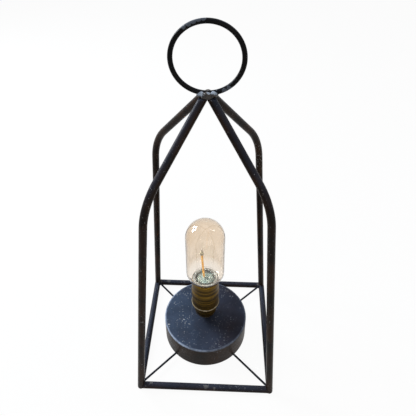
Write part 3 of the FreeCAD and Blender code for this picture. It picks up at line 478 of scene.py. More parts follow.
def makeBrass(name, chosen):
    # spun brass: tones lie in bands round the piece, under an uneven brown tarnish; the lip is rubbed and
    # carries a painted highlight line
    shared = brassSkinSet
    material, tree, shader, place = startFinish(name, shared["plain"])
    fine, cloudy = cloud(tree, place, *shared["fine"]), cloud(tree, place, *shared["cloudy"])
    colour = blend(tree, patches(tree, place, *shared["bands"]), chosen["clean"], chosen["brown"])
    stain = timesPlus(tree, fine, shared["fineShare"], times(tree, cloudy, shared["cloudShare"]))
    stain = times(tree, ramp(tree, stain, *shared["stain"]), chosen["dark"])
    colour = blend(tree, stain, colour, chosen["black"])
    # painted highlight along the lip, partly rubbed brass
    lip = placeGroup(tree, rimWear, place, shared["lip"])["Mask"]
    colour = blend(tree, lip, colour, chosen["rubbed"])
    rough = timesPlus(tree, cloudy, shared["roughByCloud"], chosen["rough"], clamp=True)
    endFinish(tree, shader, colour, rough, timesPlus(tree, fine, shared["bumpFine"], cloudy), shared["bump"])
    return material


metalSet = {
    "dullZincSteel": {"light": shade(176, 178, 180), "deep": shade(120, 122, 124), "rough": 0.3,
                      "spin": (1.0, 1.0, 30.0), "plain": {"Metallic": 1.0}},
    "brightNickel": {"light": shade(206, 204, 198), "deep": shade(160, 158, 152), "rough": 0.16,
                     "spin": (1.0, 1.0, 20.0), "plain": {"Metallic": 1.0}},
    "bulbAluminium": {"light": shade(208, 222, 230), "deep": shade(146, 162, 172), "rough": 0.14,
                      "spin": (1.0, 1.0, 40.0), "plain": {"Metallic": 0.5}},
}
metalSkinSet = {"patch": (140.0, 4.0, 0.6), "contrast": (0.3, 0.7), "drawn": (90.0, 2.0, 0.5),
                "roughByPatch": 0.2, "bump": (0.12, 0.2 * mm)}


def makeMetal(name, chosen):
    shared = metalSkinSet
    material, tree, shader, place = startFinish(name, chosen["plain"])
    patch = cloud(tree, place, *shared["patch"])
    colour = blend(tree, ramp(tree, patch, *shared["contrast"]), chosen["light"], chosen["deep"])
    endFinish(tree, shader, colour, timesPlus(tree, patch, shared["roughByPatch"], chosen["rough"]),
              cloud(tree, place, *shared["drawn"], chosen["spin"]), shared["bump"])
    return material


mouldedSet = {
    "blackMoulding": {"colour": shade(26, 26, 27), "worn": shade(58, 58, 60), "rough": 0.4,
        "grain": {"Grain Scale": 1500.0}},
    "greyMoulding": {"colour": shade(122, 124, 126), "worn": shade(158, 160, 160), "rough": 0.36,
        "grain": {"Grain Scale": 1800.0}},
    "brownFibre": {"colour": shade(70, 44, 28), "worn": shade(104, 70, 46), "rough": 0.54,
        "grain": {"Grain Scale": 700.0}},
    "greenBoard": {"colour": shade(24, 86, 52), "worn": shade(44, 116, 74), "rough": 0.32,
        "grain": {"Grain Scale": 600.0}},
    "blackCapGlass": {"colour": shade(18, 18, 22), "worn": shade(36, 36, 42), "rough": 0.04,
        "grain": {"Grain Scale": 500.0}},
    "redLeadSleeve": {"colour": shade(150, 26, 22), "worn": shade(176, 52, 44), "rough": 0.34,
        "grain": {"Grain Scale": 900.0}},
    "beadGlass": {"colour": shade(150, 152, 136), "worn": shade(186, 188, 172), "rough": 0.12,
        "grain": {"Grain Scale": 900.0}},
}
mouldedSkinSet = {
    "plain": {"Specular IOR Level": 0.45}, "skin": {"Wave Scale": 45.0, "Grain": 0.9},
    "marks": {"Scale": 70.0, "Width": 0.008, "Amount": 0.5}, "markShare": 0.6,
    "tone": ((55.0, 3.0), (0.35, 0.8, 0.0, 0.35)), "roughByWave": 0.12, "bump": (0.2, 0.2 * mm),
}


def makeMoulded(name, chosen):
    shared = mouldedSkinSet
    material, tree, shader, place = startFinish(name, shared["plain"])
    skin = placeGroup(tree, brushSkin, place, shared["skin"], chosen["grain"])["Height"]
    marks = placeGroup(tree, hairScratches, place, shared["marks"])["Mask"]
    colour = blend(tree, patches(tree, place, *shared["tone"]), chosen["colour"], chosen["worn"])
    colour = blend(tree, times(tree, marks, shared["markShare"]), colour, chosen["worn"])
    rough = timesPlus(tree, skin, shared["roughByWave"], chosen["rough"])
    endFinish(tree, shader, colour, rough, skin, shared["bump"])
    return material


cellWrapSet = {
    "dark": shade(36, 40, 46), "light": shade(176, 134, 70), "seamColour": shade(120, 120, 116),
    "plain": {"Specular IOR Level": 0.5, "Coat Weight": 0.2}, "smear": (60.0, 2.0), "smearWidth": 0.6 * mm,
    "band": (17.6 * mm, 18.0 * mm), "seam": (300.0, 3.0), "contrast": (0.55, 0.8, 0.0, 0.3),
    "roughBySeam": 0.15, "rough": 0.25, "creases": (90.0, 2.0, 0.5, (1, 12, 1)), "bump": (0.1, 0.2 * mm),
}


def makeCellWrap():
    # printed shrink sleeve: a light band at the end with the nub, dark for the rest
    chosen = cellWrapSet
    material, tree, shader, place = startFinish("cellSleeve", chosen["plain"])
    along = timesPlus(tree, cloud(tree, place, *chosen["smear"]), chosen["smearWidth"], partsOf(tree, place)[1])
    colour = blend(tree, ramp(tree, along, *chosen["band"]), chosen["dark"], chosen["light"])
    seam = cloud(tree, place, *chosen["seam"])
    colour = blend(tree, ramp(tree, seam, *chosen["contrast"]), colour, chosen["seamColour"])
    endFinish(tree, shader, colour, timesPlus(tree, seam, chosen["roughBySeam"], chosen["rough"]),
              cloud(tree, place, *chosen["creases"]), chosen["bump"])
    return material


glassSet = {
    # the edge colour is a painted dark-room reflection at the outline, partly a longer path through tinted
    # glass
    "tint": shade(242, 231, 217), "streak": shade(232, 217, 198), "edge": shade(132, 116, 104),
    "foot": shade(252, 253, 254), "passing": shade(246, 236, 226),
    "plain": {"Transmission Weight": 1.0, "IOR": 1.45, "Roughness": 0.0},
    "drawn": (26.0, 2.0, 0.5, (1.0, 1.0, 0.35)), "contrast": (0.35, 0.7), "slant": (0.6, 0.95),
    "footEnd": (0.106, 0.12), "edgeRise": (0.107, 0.122, 0.05, 1.0), "bump": (0.05, 0.4 * mm),
}


def makeBulbGlass():
    # clear blown glass with a champagne tint, plain at the foot, its outline painted darker at grazing angles,
    # partly for the longer path through tinted glass and partly as a painted reflection of a dark room; lamps
    # reach what is inside and behind it
    chosen = glassSet
    material, tree, shader, place = startFinish("champagneGlass", chosen["plain"])
    drawn, rise = cloud(tree, place, *chosen["drawn"]), partsOf(tree, place)[2]
    colour = blend(tree, ramp(tree, drawn, *chosen["contrast"]), chosen["tint"], chosen["streak"])
    colour = blend(tree, ramp(tree, rise, *chosen["footEnd"]), chosen["foot"], colour)
    slant = addNode(tree, "ShaderNodeLayerWeight", {"Blend": 0.5}).outputs["Facing"]
    # painted reflection, partly real: darker tint where the glass is seen edge-on, above the foot
    thick = times(tree, ramp(tree, slant, *chosen["slant"]), ramp(tree, rise, *chosen["edgeRise"]))
    endFinish(tree, shader, blend(tree, thick, colour, chosen["edge"]), None, drawn, chosen["bump"])
    clear = addNode(tree, "ShaderNodeBsdfTransparent", {"Color": chosen["passing"]})
    rays = addNode(tree, "ShaderNodeLightPath")
    choice = addNode(tree, "ShaderNodeMixShader",
                     {0: rays.outputs["Is Shadow Ray"], 1: shader.outputs[0], 2: clear.outputs[0]})
    tree.links.new(choice.outputs[0], tree.nodes["Material Output"].inputs["Surface"])
    return material


filamentGelSet = {
    "deep": shade(228, 172, 58), "light": shade(240, 196, 104), "tone": ((260.0, 3.0), (0.3, 0.7)),
    "plain": {"Roughness": 0.4, "Specular IOR Level": 0.3, "Emission Strength": 0.12}, "relief": (500.0, 2.0),
    "bump": (0.2, 0.2 * mm),
}


def makeFilamentGel():
    # amber phosphor over a row of chips, with a faint painted glow from emission
    chosen = filamentGelSet
    material, tree, shader, place = startFinish("amberFilament", chosen["plain"])
    colour = blend(tree, patches(tree, place, *chosen["tone"]), chosen["deep"], chosen["light"])
    # painted glow: the amber colour also drives a faint emission
    tree.links.new(colour, shader.inputs["Emission Color"])
    endFinish(tree, shader, colour, None, cloud(tree, place, *chosen["relief"]), chosen["bump"])
    return material


mountDiscSet = {
    "deep": shade(74, 104, 112), "light": shade(160, 198, 208), "pale": shade(200, 222, 230),
    "plain": {"Roughness": 0.2, "Coat Weight": 0.3}, "ringsPerMetre": 3600.0, "rings": (-0.6, 0.8),
    "clouds": ((240.0, 3.0), (0.4, 0.8, 0.0, 0.5)), "bump": (0.2, 0.2 * mm),
}


def makeMountDisc():
    # grey-teal glass of the stem, with the rings the press left in it
    chosen = mountDiscSet
    material, tree, shader, place = startFinish("greyMountGlass", chosen["plain"])
    local = partsOf(tree, calcVector(tree, "SUBTRACT", place, lampCentre))
    radius = lengthOf(tree, vectorOf(tree, local[0], local[1]))
    wave = calc(tree, "SINE", times(tree, radius, chosen["ringsPerMetre"]))
    colour = blend(tree, ramp(tree, wave, *chosen["rings"]), chosen["deep"], chosen["light"])
    colour = blend(tree, patches(tree, place, *chosen["clouds"]), colour, chosen["pale"])
    endFinish(tree, shader, colour, None, wave, chosen["bump"])
    return material


finish = {
    "blueBlackDrumPaint": makeDrumPaint(), "cellSleeve": makeCellWrap(), "champagneGlass": makeBulbGlass(),
    "amberFilament": makeFilamentGel(), "greyMountGlass": makeMountDisc(), "burntWeldMetal": makeBurntWeld(),
}
for makeFinish, kinds in ((makeRodPaint, rodPaintSet), (makeBrass, brassSet), (makeMetal, metalSet),
                          (makeMoulded, mouldedSet)):
    for name, chosen in kinds.items():
        finish[name] = makeFinish(name, chosen)
print("finishes ready")

# the frame's own meshes that stay, by finish
nodesOfFinish = {
    "blueBlackDrumPaint": ["drum_shell"],
    "wornCollar": ["nipple_collar"],
    "blackMoulding": ["drum_cover", "battery_door", "switch_housing", "timer_chip"],
    "greyMoulding": ["switch_slider"],
    "dullZincSteel": ["drum_posts", "nipple_washer", "nipple_nut", "cap_lock_nut", "door_hinge_pin",
                      "board_capacitor", "support_wire"],
    "brightNickel": ["contact_plates", "leaf_spring_left", "leaf_spring_middle", "leaf_spring_right",
                     "centre_contact", "bulb_contact"],
    "cellSleeve": ["battery_cells"],
    "greenBoard": ["driver_board"],
    "bareNippleBrass": ["holder_nipple", "screw_liner"],
    "brownFibre": ["insulating_sleeve", "holder_insulator"],
    "blackCapGlass": ["bulb_glass_plug"],
    "champagneGlass": ["bulb_glass"],
    "beadGlass": ["filament_bead"],
    "redLeadSleeve": ["lead_live", "lead_return"],
}
for choice, names in nodesOfFinish.items():
    for name in names:
        for slot in nodes[name].material_slots:
            slot.material = finish[choice]


# what turns a named tree and its values into a finished piece
def newShapeTree(name, inputs):
    tree = bpy.data.node_groups.new(name, "GeometryNodeTree")
    addSocket(tree, "Geometry", "Geometry")
    addInputs(tree, inputs)
    addSocket(tree, "Finish", "Material")
    addSocket(tree, "Geometry", "Geometry", "OUTPUT")
    return tree, tree.nodes.new("NodeGroupInput").outputs


def closeTree(tree, geometry, given, smooth=True):
    # every shape tree ends the same way: real geometry with its finish
    if smooth:
        geometry = addNode(tree, "GeometryNodeSetShadeSmooth",
                           {"Geometry": geometry, "Shade Smooth": True}).outputs[0]
    real = addNode(tree, "GeometryNodeRealizeInstances", {"Geometry": geometry})
    coated = addNode(tree, "GeometryNodeSetMaterial",
                     {"Geometry": real.outputs[0], "Material": given["Finish"]})
    addNode(tree, "NodeGroupOutput", {0: coated.outputs[0]})


def settle(piece, body, replaced=()):
    bpy.context.view_layer.update()
    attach(piece, body)
    if replaced:
        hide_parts(*replaced)


def plainMesh(holder):
    # the mesh that the holder's modifier makes; then the modifier and the holder are taken away
    bpy.context.view_layer.update()
    mesh = bpy.data.meshes.new_from_object(holder.evaluated_get(bpy.context.evaluated_depsgraph_get()))
    holder.modifiers.clear()
    bpy.data.objects.remove(holder)
    return mesh


def growPiece(name, source, tree, finishName, values, body, replaced=()):
    # run the tree on the source mesh and keep only the plain mesh it makes
    values = {**values, "Finish": finish[finishName]}
    holder = addObject(name + "Source", source)
    modifier = holder.modifiers.new("shape", "NODES")
    modifier.node_group = tree
    for item in tree.interface.items_tree:
        if item.item_type == "SOCKET" and item.in_out == "INPUT" and item.name in values:
            modifier[item.identifier] = values[item.name]
    settle(addObject(name, plainMesh(holder)), body, replaced)


def pathMesh(points, closed=False, joined=True):
    # points in millimetres
    mesh = bpy.data.meshes.new("path")
    edges = [(index, index + 1) for index in range(len(points) - 1)] if joined else []
    if closed:
        edges.append((len(points) - 1, 0))
    mesh.from_pydata([tuple(part * mm for part in point) for point in points], edges, [])
    return mesh


def sweepRound(tree, curve, share, radius, sides):
    # a round tube along the curve, with its radius times the share at each point
    sized = addNode(tree, "GeometryNodeSetCurveRadius", {"Curve": curve, "Radius": share})
    ring = addNode(tree, "GeometryNodeCurvePrimitiveCircle", {"Resolution": sides, "Radius": radius})
    return addNode(tree, "GeometryNodeCurveToMesh", {
        "Curve": sized.outputs[0], "Profile Curve": ring.outputs[0], "Fill Caps": True,
        "Scale": addNode(tree, "GeometryNodeInputRadius").outputs[0]}).outputs[0]


def positionOf(tree):
    return addNode(tree, "GeometryNodeInputPosition").outputs[0]


# round rods: the legs, bars, ring and stays all follow this one tree
rodTreeSet = {"bendSteps": 24, "leastRound": 0.00001, "rippleDetail": 2.0}


def makeRodTree():
    chosen = rodTreeSet
    tree, given = newShapeTree("roundRod", {
        "Rod Radius": 0.0035, "Bend Radius": 0.045, "Step": 0.0009, "Sides": 28, "Ripple": 0.0001,
        "Ripple Scale": 60.0, "Low Cut": -1.0, "High Cut": 9.0, "Foot Round": 0.0, "Seed": 0})
    line = addNode(tree, "GeometryNodeMeshToCurve", {"Mesh": given["Geometry"]})
    bent = addNode(tree, "GeometryNodeFilletCurve", {
        "Curve": line.outputs[0], "Count": chosen["bendSteps"], "Radius": given["Bend Radius"]}, mode="POLY")
    even = addNode(tree, "GeometryNodeResampleCurve",
                   {"Curve": bent.outputs[0], "Length": given["Step"]}, mode="LENGTH")
    # the foot narrows over its last part, as if ground round
    height = partsOf(tree, positionOf(tree))[2]
    footRound = calc(tree, "MAXIMUM", given["Foot Round"], chosen["leastRound"])
    away = minus(tree, 1.0, calc(tree, "DIVIDE", height, footRound, clamp=True))
    level = minus(tree, 1.0, times(tree, away, away), clamp=True)
    lost = minus(tree, 1.0, calc(tree, "SQRT", level))
    narrow = minus(tree, given["Rod Radius"], times(tree, lost, given["Foot Round"]))
    share = calc(tree, "DIVIDE", narrow, given["Rod Radius"])
    tube = sweepRound(tree, even.outputs[0], share, given["Rod Radius"], given["Sides"])
    # slight hand-worked unevenness, always inwards
    shifted = calcVector(tree, "ADD", positionOf(tree), vectorOf(tree, given["Seed"]))
    wave = cloud(tree, shifted, given["Ripple Scale"], chosen["rippleDetail"])
    push = times(tree, wave, times(tree, given["Ripple"], -1.0))
    normal = addNode(tree, "GeometryNodeInputNormal").outputs[0]
    offset = calcVector(tree, "MULTIPLY", normal, vectorOf(tree, push, push, push))
    uneven = addNode(tree, "GeometryNodeSetPosition", {"Geometry": tube, "Offset": offset})
    # saw cuts: flat at the floor and under the weld
    part = partsOf(tree, positionOf(tree))
    level = calc(tree, "MINIMUM", calc(tree, "MAXIMUM", part[2], given["Low Cut"]), given["High Cut"])
    sawn = addNode(tree, "GeometryNodeSetPosition",
                   {"Geometry": uneven.outputs[0], "Position": vectorOf(tree, part[0], part[1], level)})
    closeTree(tree, sawn.outputs[0], given)
    return tree


rodTree = makeRodTree()

# plain numbers in millimetres and degrees
frameSet = {
    "footSpacing": 153.4, "shoulderSpacing": 113.0, "shoulderHeight": 268.6, "shoulderTwist": 2.5,
    "apexHeight": 352.7, "apexShort": 2.0, "footOver": 0.4, "barShort": 1.2, "ringCentre": 382.4,
    "ringRadius": 31.4, "ringSteps": 96, "stayOuter": 6.2, "stayInner": 4.4, "stayShort": 0.5,
    "drumRadius": 52.7, "rod": {"Rod Radius": 4.0 * mm, "Ripple": 0.12 * mm},
    "leg": {"Bend Radius": 70 * mm, "Low Cut": 0.0, "High Cut": 347.75 * mm, "Foot Round": 2.0 * mm},
    "ring": {"Rod Radius": 2.35 * mm, "Ripple": 0.1 * mm, "Seed": 20},
    "stay": {"Rod Radius": 1.3 * mm, "Ripple": 0.08 * mm, "Sides": 16}, "barSeed": 10, "staySeed": 30,
}
cornerNames = ["back_right", "back_left", "front_left", "front_right"]


def aroundAxis(radius, angle, height):
    angle = math.radians(angle)
    return Vector((radius * math.cos(angle), radius * math.sin(angle), height))


def cornerSpot(spacing, index, height, twist=0.0):
    # a corner of the square with this spacing
    return aroundAxis(spacing / math.sqrt(2), 45 + 90 * index + twist, height)


def awayFromDrum(spot):
    # the drum's middle, and the level direction from it to the spot
    centre = Vector((*lampAxis, 0))
    return centre, Vector((spot.x - centre.x, spot.y - centre.y, 0)).normalized()


def rodPiece(name, points, replaced, values, finishName="blackRodPaint", closed=False):
    given = {"Bend Radius": 0.0, **frameSet["rod"], **values}
    growPiece(name, pathMesh(points, closed), rodTree, finishName, given, "lantern",
              [replaced])


def buildLegs():
    apex = Vector((0, 0, frameSet["apexHeight"]))
    for index, corner in enumerate(cornerNames):
        foot = cornerSpot(frameSet["footSpacing"], index, 0)
        shoulder = cornerSpot(frameSet["shoulderSpacing"], index, frameSet["shoulderHeight"],
                              frameSet["shoulderTwist"])
        start = foot + (foot - shoulder).normalized() * frameSet["footOver"]
        stop = apex + (shoulder - apex).normalized() * frameSet["apexShort"]
        rodPiece("leg_" + corner + "_rod", [start, shoulder, stop], "leg_" + corner,
                 {**frameSet["leg"], "Seed": index})


def buildBars():
    half = frameSet["footSpacing"] / 2
    low = frameSet["rod"]["Rod Radius"] / mm
    ends = {"front": ((-half, -half), (half, -half)), "right": ((half, -half), (half, half)),
            "back": ((half, half), (-half, half)), "left": ((-half, half), (-half, -half))}
    for index, (side, (first, last)) in enumerate(ends.items()):
        start, stop = Vector((*first, low)), Vector((*last, low))
        along = (stop - start).normalized() * frameSet["barShort"]
        rodPiece("base_bar_" + side + "_rod", [start + along, stop - along], "base_bar_" + side,
                 {"Seed": frameSet["barSeed"] + index})


def buildRing():
    points = []
    for step in range(frameSet["ringSteps"]):
        angle = 2 * math.pi * step / frameSet["ringSteps"]
        points.append((frameSet["ringRadius"] * math.sin(angle), 0,
                       frameSet["ringCentre"] - frameSet["ringRadius"] * math.cos(angle)))
    rodPiece("carrying_ring_rod", points, "carrying_ring", frameSet["ring"], "blackRingPaint", True)


def buildStays():
    for index, corner in enumerate(cornerNames):
        outer = cornerSpot(frameSet["footSpacing"], index, frameSet["stayOuter"])
        centre, flat = awayFromDrum(outer)
        inner = centre + flat * frameSet["drumRadius"]
        inner.z = frameSet["stayInner"]
        rodPiece("stay_" + corner + "_wire", [outer, inner - flat * frameSet["stayShort"]], "stay_" + corner,
                 {**frameSet["stay"], "Seed": frameSet["staySeed"] + index}, "thinStayPaint")


buildLegs()
buildBars()
buildRing()
buildStays()
print("frame rods made")


# weld at the apex: run-together blobs (place and radius in millimetres)
apexWeldSet = {
    "blobs": [
        (-5.4, -0.8, 349.9, 3.9), (5.6, -0.6, 350.2, 4.0), (-0.2, -2.4, 349.4, 4.3), (0.4, 2.6, 349.4, 4.1),
        (-8.0, 0.6, 348.9, 1.9), (8.0, 0.8, 349.0, 1.9), (-3.0, 4.2, 349.0, 2.8), (3.6, 4.4, 348.9, 2.7),
        (2.6, -4.4, 348.7, 2.6), (-2.8, -4.6, 348.7, 2.5), (0.2, 0.2, 350.6, 3.2)],
    "flatness": 0.86, "fineness": 3, "voxel": 0.45 * mm, "smoothings": 2, "smoothing": 0.5,
    "lumps": 0.35 * mm, "lumpScale": 260.0,
}


def buildApexWeld():
    chosen = apexWeldSet
    shape = bmesh.new()
    for x, y, z, radius in chosen["blobs"]:
        squash = Matrix.Diagonal((1, 1, chosen["flatness"], 1))
        bmesh.ops.create_icosphere(shape, subdivisions=chosen["fineness"], radius=radius * mm,
                                   matrix=Matrix.Translation((x * mm, y * mm, z * mm)) @ squash)
    mesh = bpy.data.meshes.new("apexWeldBlobs")
    shape.to_mesh(mesh)
    shape.free()
    holder = addObject("apexWeldBlobs", mesh)
    remesh = holder.modifiers.new("fuse", "REMESH")
    remesh.mode = "VOXEL"
    remesh.voxel_size = chosen["voxel"]
    fused = plainMesh(holder)
    shape = bmesh.new()
    shape.from_mesh(fused)
    for _ in range(chosen["smoothings"]):
        bmesh.ops.smooth_vert(shape, verts=shape.verts, factor=chosen["smoothing"], use_axis_x=True,
                              use_axis_y=True, use_axis_z=True)
    shape.normal_update()
    for vertex in shape.verts:
        lump = noise.noise(vertex.co * chosen["lumpScale"])
        vertex.co += vertex.normal * lump * chosen["lumps"]
    for face in shape.faces:
        face.smooth = True
    shape.to_mesh(fused)
    shape.free()
    fused.materials.clear()
    fused.materials.append(finish["burntWeldMetal"])
    settle(addObject("apex_weld_bead", fused), "lantern", ["apex_weld"])


buildApexWeld()
print("apex weld made")


# weld beads round the rod ends: overlapping drops along a short path
def makeBeadTree():
    tree, given = newShapeTree("weldBead", {
        "Drop Radius": 0.001, "Spacing": 0.0008, "Uneven": 0.35, "Seed": 0})
    line = addNode(tree, "GeometryNodeMeshToCurve", {"Mesh": given["Geometry"]})
    even = addNode(tree, "GeometryNodeResampleCurve",
                   {"Curve": line.outputs[0], "Length": given["Spacing"]}, mode="LENGTH")
    spots = addNode(tree, "GeometryNodeCurveToPoints", {"Curve": even.outputs[0]}, mode="EVALUATED")
    drop = addNode(tree, "GeometryNodeMeshIcoSphere", {"Radius": given["Drop Radius"], "Subdivisions": 3})
    least = minus(tree, 1.0, given["Uneven"])
    size = addNode(tree, "FunctionNodeRandomValue",
                   {2: least, 3: 1.0, "Seed": given["Seed"]}, data_type="FLOAT")
    drops = addNode(tree, "GeometryNodeInstanceOnPoints", {
        "Points": spots.outputs[0], "Instance": drop.outputs[0], "Scale": size.outputs[1]})
    closeTree(tree, drops.outputs[0], given)
    return tree


beadTree = makeBeadTree()
# arcs in degrees, apart and inset in millimetres
cornerBeadSet = {
    "drops": {"Drop Radius": 1.15 * mm, "Spacing": 0.9 * mm, "Uneven": 0.35}, "arc": (-20, 128), "inset": 0.45,
    "apart": 0.1, "seed": 40, "finish": "crustyBead"}
stayBeadSet = {
    "drops": {"Drop Radius": 0.8 * mm, "Spacing": 0.7 * mm, "Uneven": 0.4}, "arc": (-25, 205), "share": 0.85,
    "apart": 0.1, "seed": 60, "finish": "thinStayPaint"}


def beadPiece(name, chosen, seed, centre, first, second, radius, steps=14):
    # drops along part of a circle in the plane of two directions
    start, stop = chosen["arc"]
    points = []
    for step in range(steps + 1):
        angle = math.radians(start + (stop - start) * step / steps)
        points.append(centre + (first * math.cos(angle) + second * math.sin(angle)) * radius)
    drops = {**chosen["drops"], "Seed": chosen["seed"] + seed}
    growPiece(name, pathMesh(points), beadTree, chosen["finish"], drops, "lantern")


def buildBeads():
    rod, stay = frameSet["rod"]["Rod Radius"] / mm, frameSet["stay"]["Rod Radius"] / mm
    upward = Vector((0, 0, 1))
    for index, corner in enumerate(cornerNames):
        spot = cornerSpot(frameSet["footSpacing"], index, rod)
        inwardX = Vector((-1 if spot.x > 0 else 1, 0, 0))
        inwardY = Vector((0, -1 if spot.y > 0 else 1, 0))
        for part, (along, inside) in enumerate(((inwardX, inwardY), (inwardY, inwardX))):
            centre = spot + along * (rod + cornerBeadSet["apart"])
            beadPiece("corner_bead_%s_%d" % (corner, part), cornerBeadSet, index * 2 + part, centre, inside,
                      upward, rod - cornerBeadSet["inset"])
        centre, flat = awayFromDrum(spot)
        apart = stayBeadSet["apart"]
        drumEnd = centre + flat * (frameSet["drumRadius"] + apart)
        drumEnd.z = frameSet["stayInner"] + apart
        rodEnd = spot - flat * (rod + apart)
        rodEnd.z = frameSet["stayOuter"] - apart
        for label, end in (("drum", drumEnd), ("corner", rodEnd)):
            beadPiece("stay_bead_%s_%s" % (label, corner), stayBeadSet, index * 2, end, upward.cross(flat),
                      upward, stay * stayBeadSet["share"])


buildBeads()
print("weld beads made")


# turned pieces: an outline swung round the upright axis of the lamp
def softOutline(corners, steps=5, most=0.49):
    # corners (radius, height) or (radius, height, rounding); a rounding takes at most this much of an edge
    points = []
    for index, corner in enumerate(corners):
        here = Vector(corner[:2])
        if len(corner) == 2:
            points.append(here)
            continue
        before = Vector(corners[index - 1][:2]) - here
        after = Vector(corners[(index + 1) % len(corners)][:2]) - here
        back, ahead = before.normalized(), after.normalized()
        slope = math.tan(back.angle(ahead) / 2)
        reach = min(corner[2] / slope, before.length * most, after.length * most)
        centre = here + (back + ahead).normalized() * (reach * slope / math.sin(back.angle(ahead) / 2))
        first, last = here + back * reach - centre, here + ahead * reach - centre
        swing = first.angle_signed(last)
        for step in range(steps + 1):
            points.append(centre + Matrix.Rotation(-swing * step / steps, 2) @ first)
    return points


def turnedMesh(name, outline, sides=128, closed=True):
    shape = bmesh.new()
    rings = []
    for radius, height in outline:
        around = range(sides if radius else 1)  # a point on the axis needs no ring
        angles = [2 * math.pi * side / sides for side in around]
        rings.append([shape.verts.new(((lampAxis[0] + radius * math.cos(angle)) * mm,
                                       (lampAxis[1] + radius * math.sin(angle)) * mm, height * mm))
                      for angle in angles])
    pairs = list(zip(rings, rings[1:]))
    if closed:
        pairs.append((rings[-1], rings[0]))
    for lower, upper in pairs:
        for side in range(sides):
            following = (side + 1) % sides
            corners = [lower[side % len(lower)], lower[following % len(lower)],
                       upper[following % len(upper)], upper[side % len(upper)]]
            corners = [vertex for place, vertex in enumerate(corners) if vertex not in corners[:place]]
            if len(corners) > 2:
                shape.faces.new(corners)
    bmesh.ops.recalc_face_normals(shape, faces=shape.faces)
    for face in shape.faces:
        face.smooth = True
    mesh = bpy.data.meshes.new(name)
    shape.to_mesh(mesh)
    shape.free()
    return mesh


def turnedPiece(name, outline, finishName, body, replaced, sides=128, closed=True):
    mesh = turnedMesh(name, softOutline(outline), sides, closed)
    mesh.materials.append(finish[finishName])
    settle(addObject(name, mesh), body, replaced)


holderSet = {
    "barrel": [
        (16.05, 60.3, 0.15), (16.62, 60.3, 0.15), (16.62, 73.0, 0.4), (16.3, 73.3, 0.25), (16.35, 74.1, 0.3),
        (16.8, 74.5, 0.5), (17.08, 77.0, 3.0), (17.14, 80.6, 6.0), (17.06, 84.4, 3.0), (16.8, 86.6, 0.5),
        (16.35, 87.0, 0.3), (16.3, 87.7, 0.25), (16.62, 88.1, 0.4), (16.62, 101.7), (16.52, 102.2),
        (16.24, 102.62), (15.85, 102.88), (15.38, 102.98, 0.1), (15.38, 102.4), (15.8, 102.2), (16.0, 101.8),
        (16.05, 101.2),
    ],
    "cap": [
        (5.05, 37.05, 0.1), (7.1, 37.05, 0.3), (7.15, 38.2, 0.4), (9.6, 39.2, 2.0), (11.9, 41.2, 3.0),
        (13.3, 44.0, 3.0), (13.95, 47.6, 4.0), (13.98, 57.4, 0.8), (14.6, 58.3, 0.8), (16.9, 59.45, 0.4),
        (17.28, 60.0, 0.35), (17.28, 60.9, 0.3), (17.05, 61.2, 0.2), (17.05, 61.5, 0.2), (17.28, 61.8, 0.3),
        (17.28, 62.55, 0.3), (16.76, 62.55, 0.15), (16.76, 60.1, 0.1), (13.2, 60.1, 0.1), (13.1, 48.5, 4.0),
        (11.0, 42.4, 3.0), (9.0, 40.2, 1.5), (7.2, 39.1, 0.2), (5.05, 39.1, 0.1),
    ],
}
for part, outline in holderSet.items():
    turnedPiece("holder_" + part + "_spun", outline, "agedHolderBrass", "lantern",
                ["holder_" + part])
print("lampholder made")


# bulb: the stem disc with its pressed rings, the threaded cap, and the filament with its row of chips
mountSet = {
    "outline": [
        (0.0, 99.05), (10.95, 99.05, 0.2), (10.95, 101.6, 0.5), (10.2, 102.2, 0.3), (9.4, 101.9, 0.3),
        (8.4, 102.2, 0.3), (8.3, 103.1, 0.3), (7.3, 103.3, 0.3), (6.5, 102.9, 0.3), (5.6, 103.2, 0.3),
        (4.8, 102.8, 0.3), (3.4, 103.2, 0.4), (2.4, 104.2, 0.6), (1.5, 104.6, 0.3), (1.45, 105.6, 0.3),
        (0.0, 105.7),
    ],
    "sides": 96,
}
turnedPiece("bulb_mount_disc", mountSet["outline"], "greyMountGlass", "bulb", ["bulb_mount"],
            mountSet["sides"], False)


def makeThreadTree():
    # presses a round thread into a turned shell about the lamp's axis
    tree, given = newShapeTree("rolledThread", {
        "Centre": origin, "Pitch": 0.0036, "Depth": 0.00033, "Low End": 0.09, "High End": 0.1,
        "Run Out": 0.001})
    local = partsOf(tree, calcVector(tree, "SUBTRACT", positionOf(tree), given["Centre"]))
    turn = calc(tree, "ARCTAN2", local[1], local[0])
    climb = times(tree, calc(tree, "DIVIDE", local[2], given["Pitch"]), 2 * math.pi)
    push = times(tree, calc(tree, "COSINE", minus(tree, climb, turn)), given["Depth"])
    fades = []
    for high, low in ((local[2], given["Low End"]), (given["High End"], local[2])):
        fades.append(calc(tree, "DIVIDE", minus(tree, high, low), given["Run Out"], clamp=True))
    push = times(tree, push, times(tree, *fades))
    outward = calcVector(tree, "NORMALIZE", vectorOf(tree, local[0], local[1]))
    pressed = addNode(tree, "GeometryNodeSetPosition", {
        "Geometry": given["Geometry"],
        "Offset": calcVector(tree, "MULTIPLY", outward, vectorOf(tree, push, push, push))})
    closeTree(tree, pressed.outputs[0], given)
    return tree


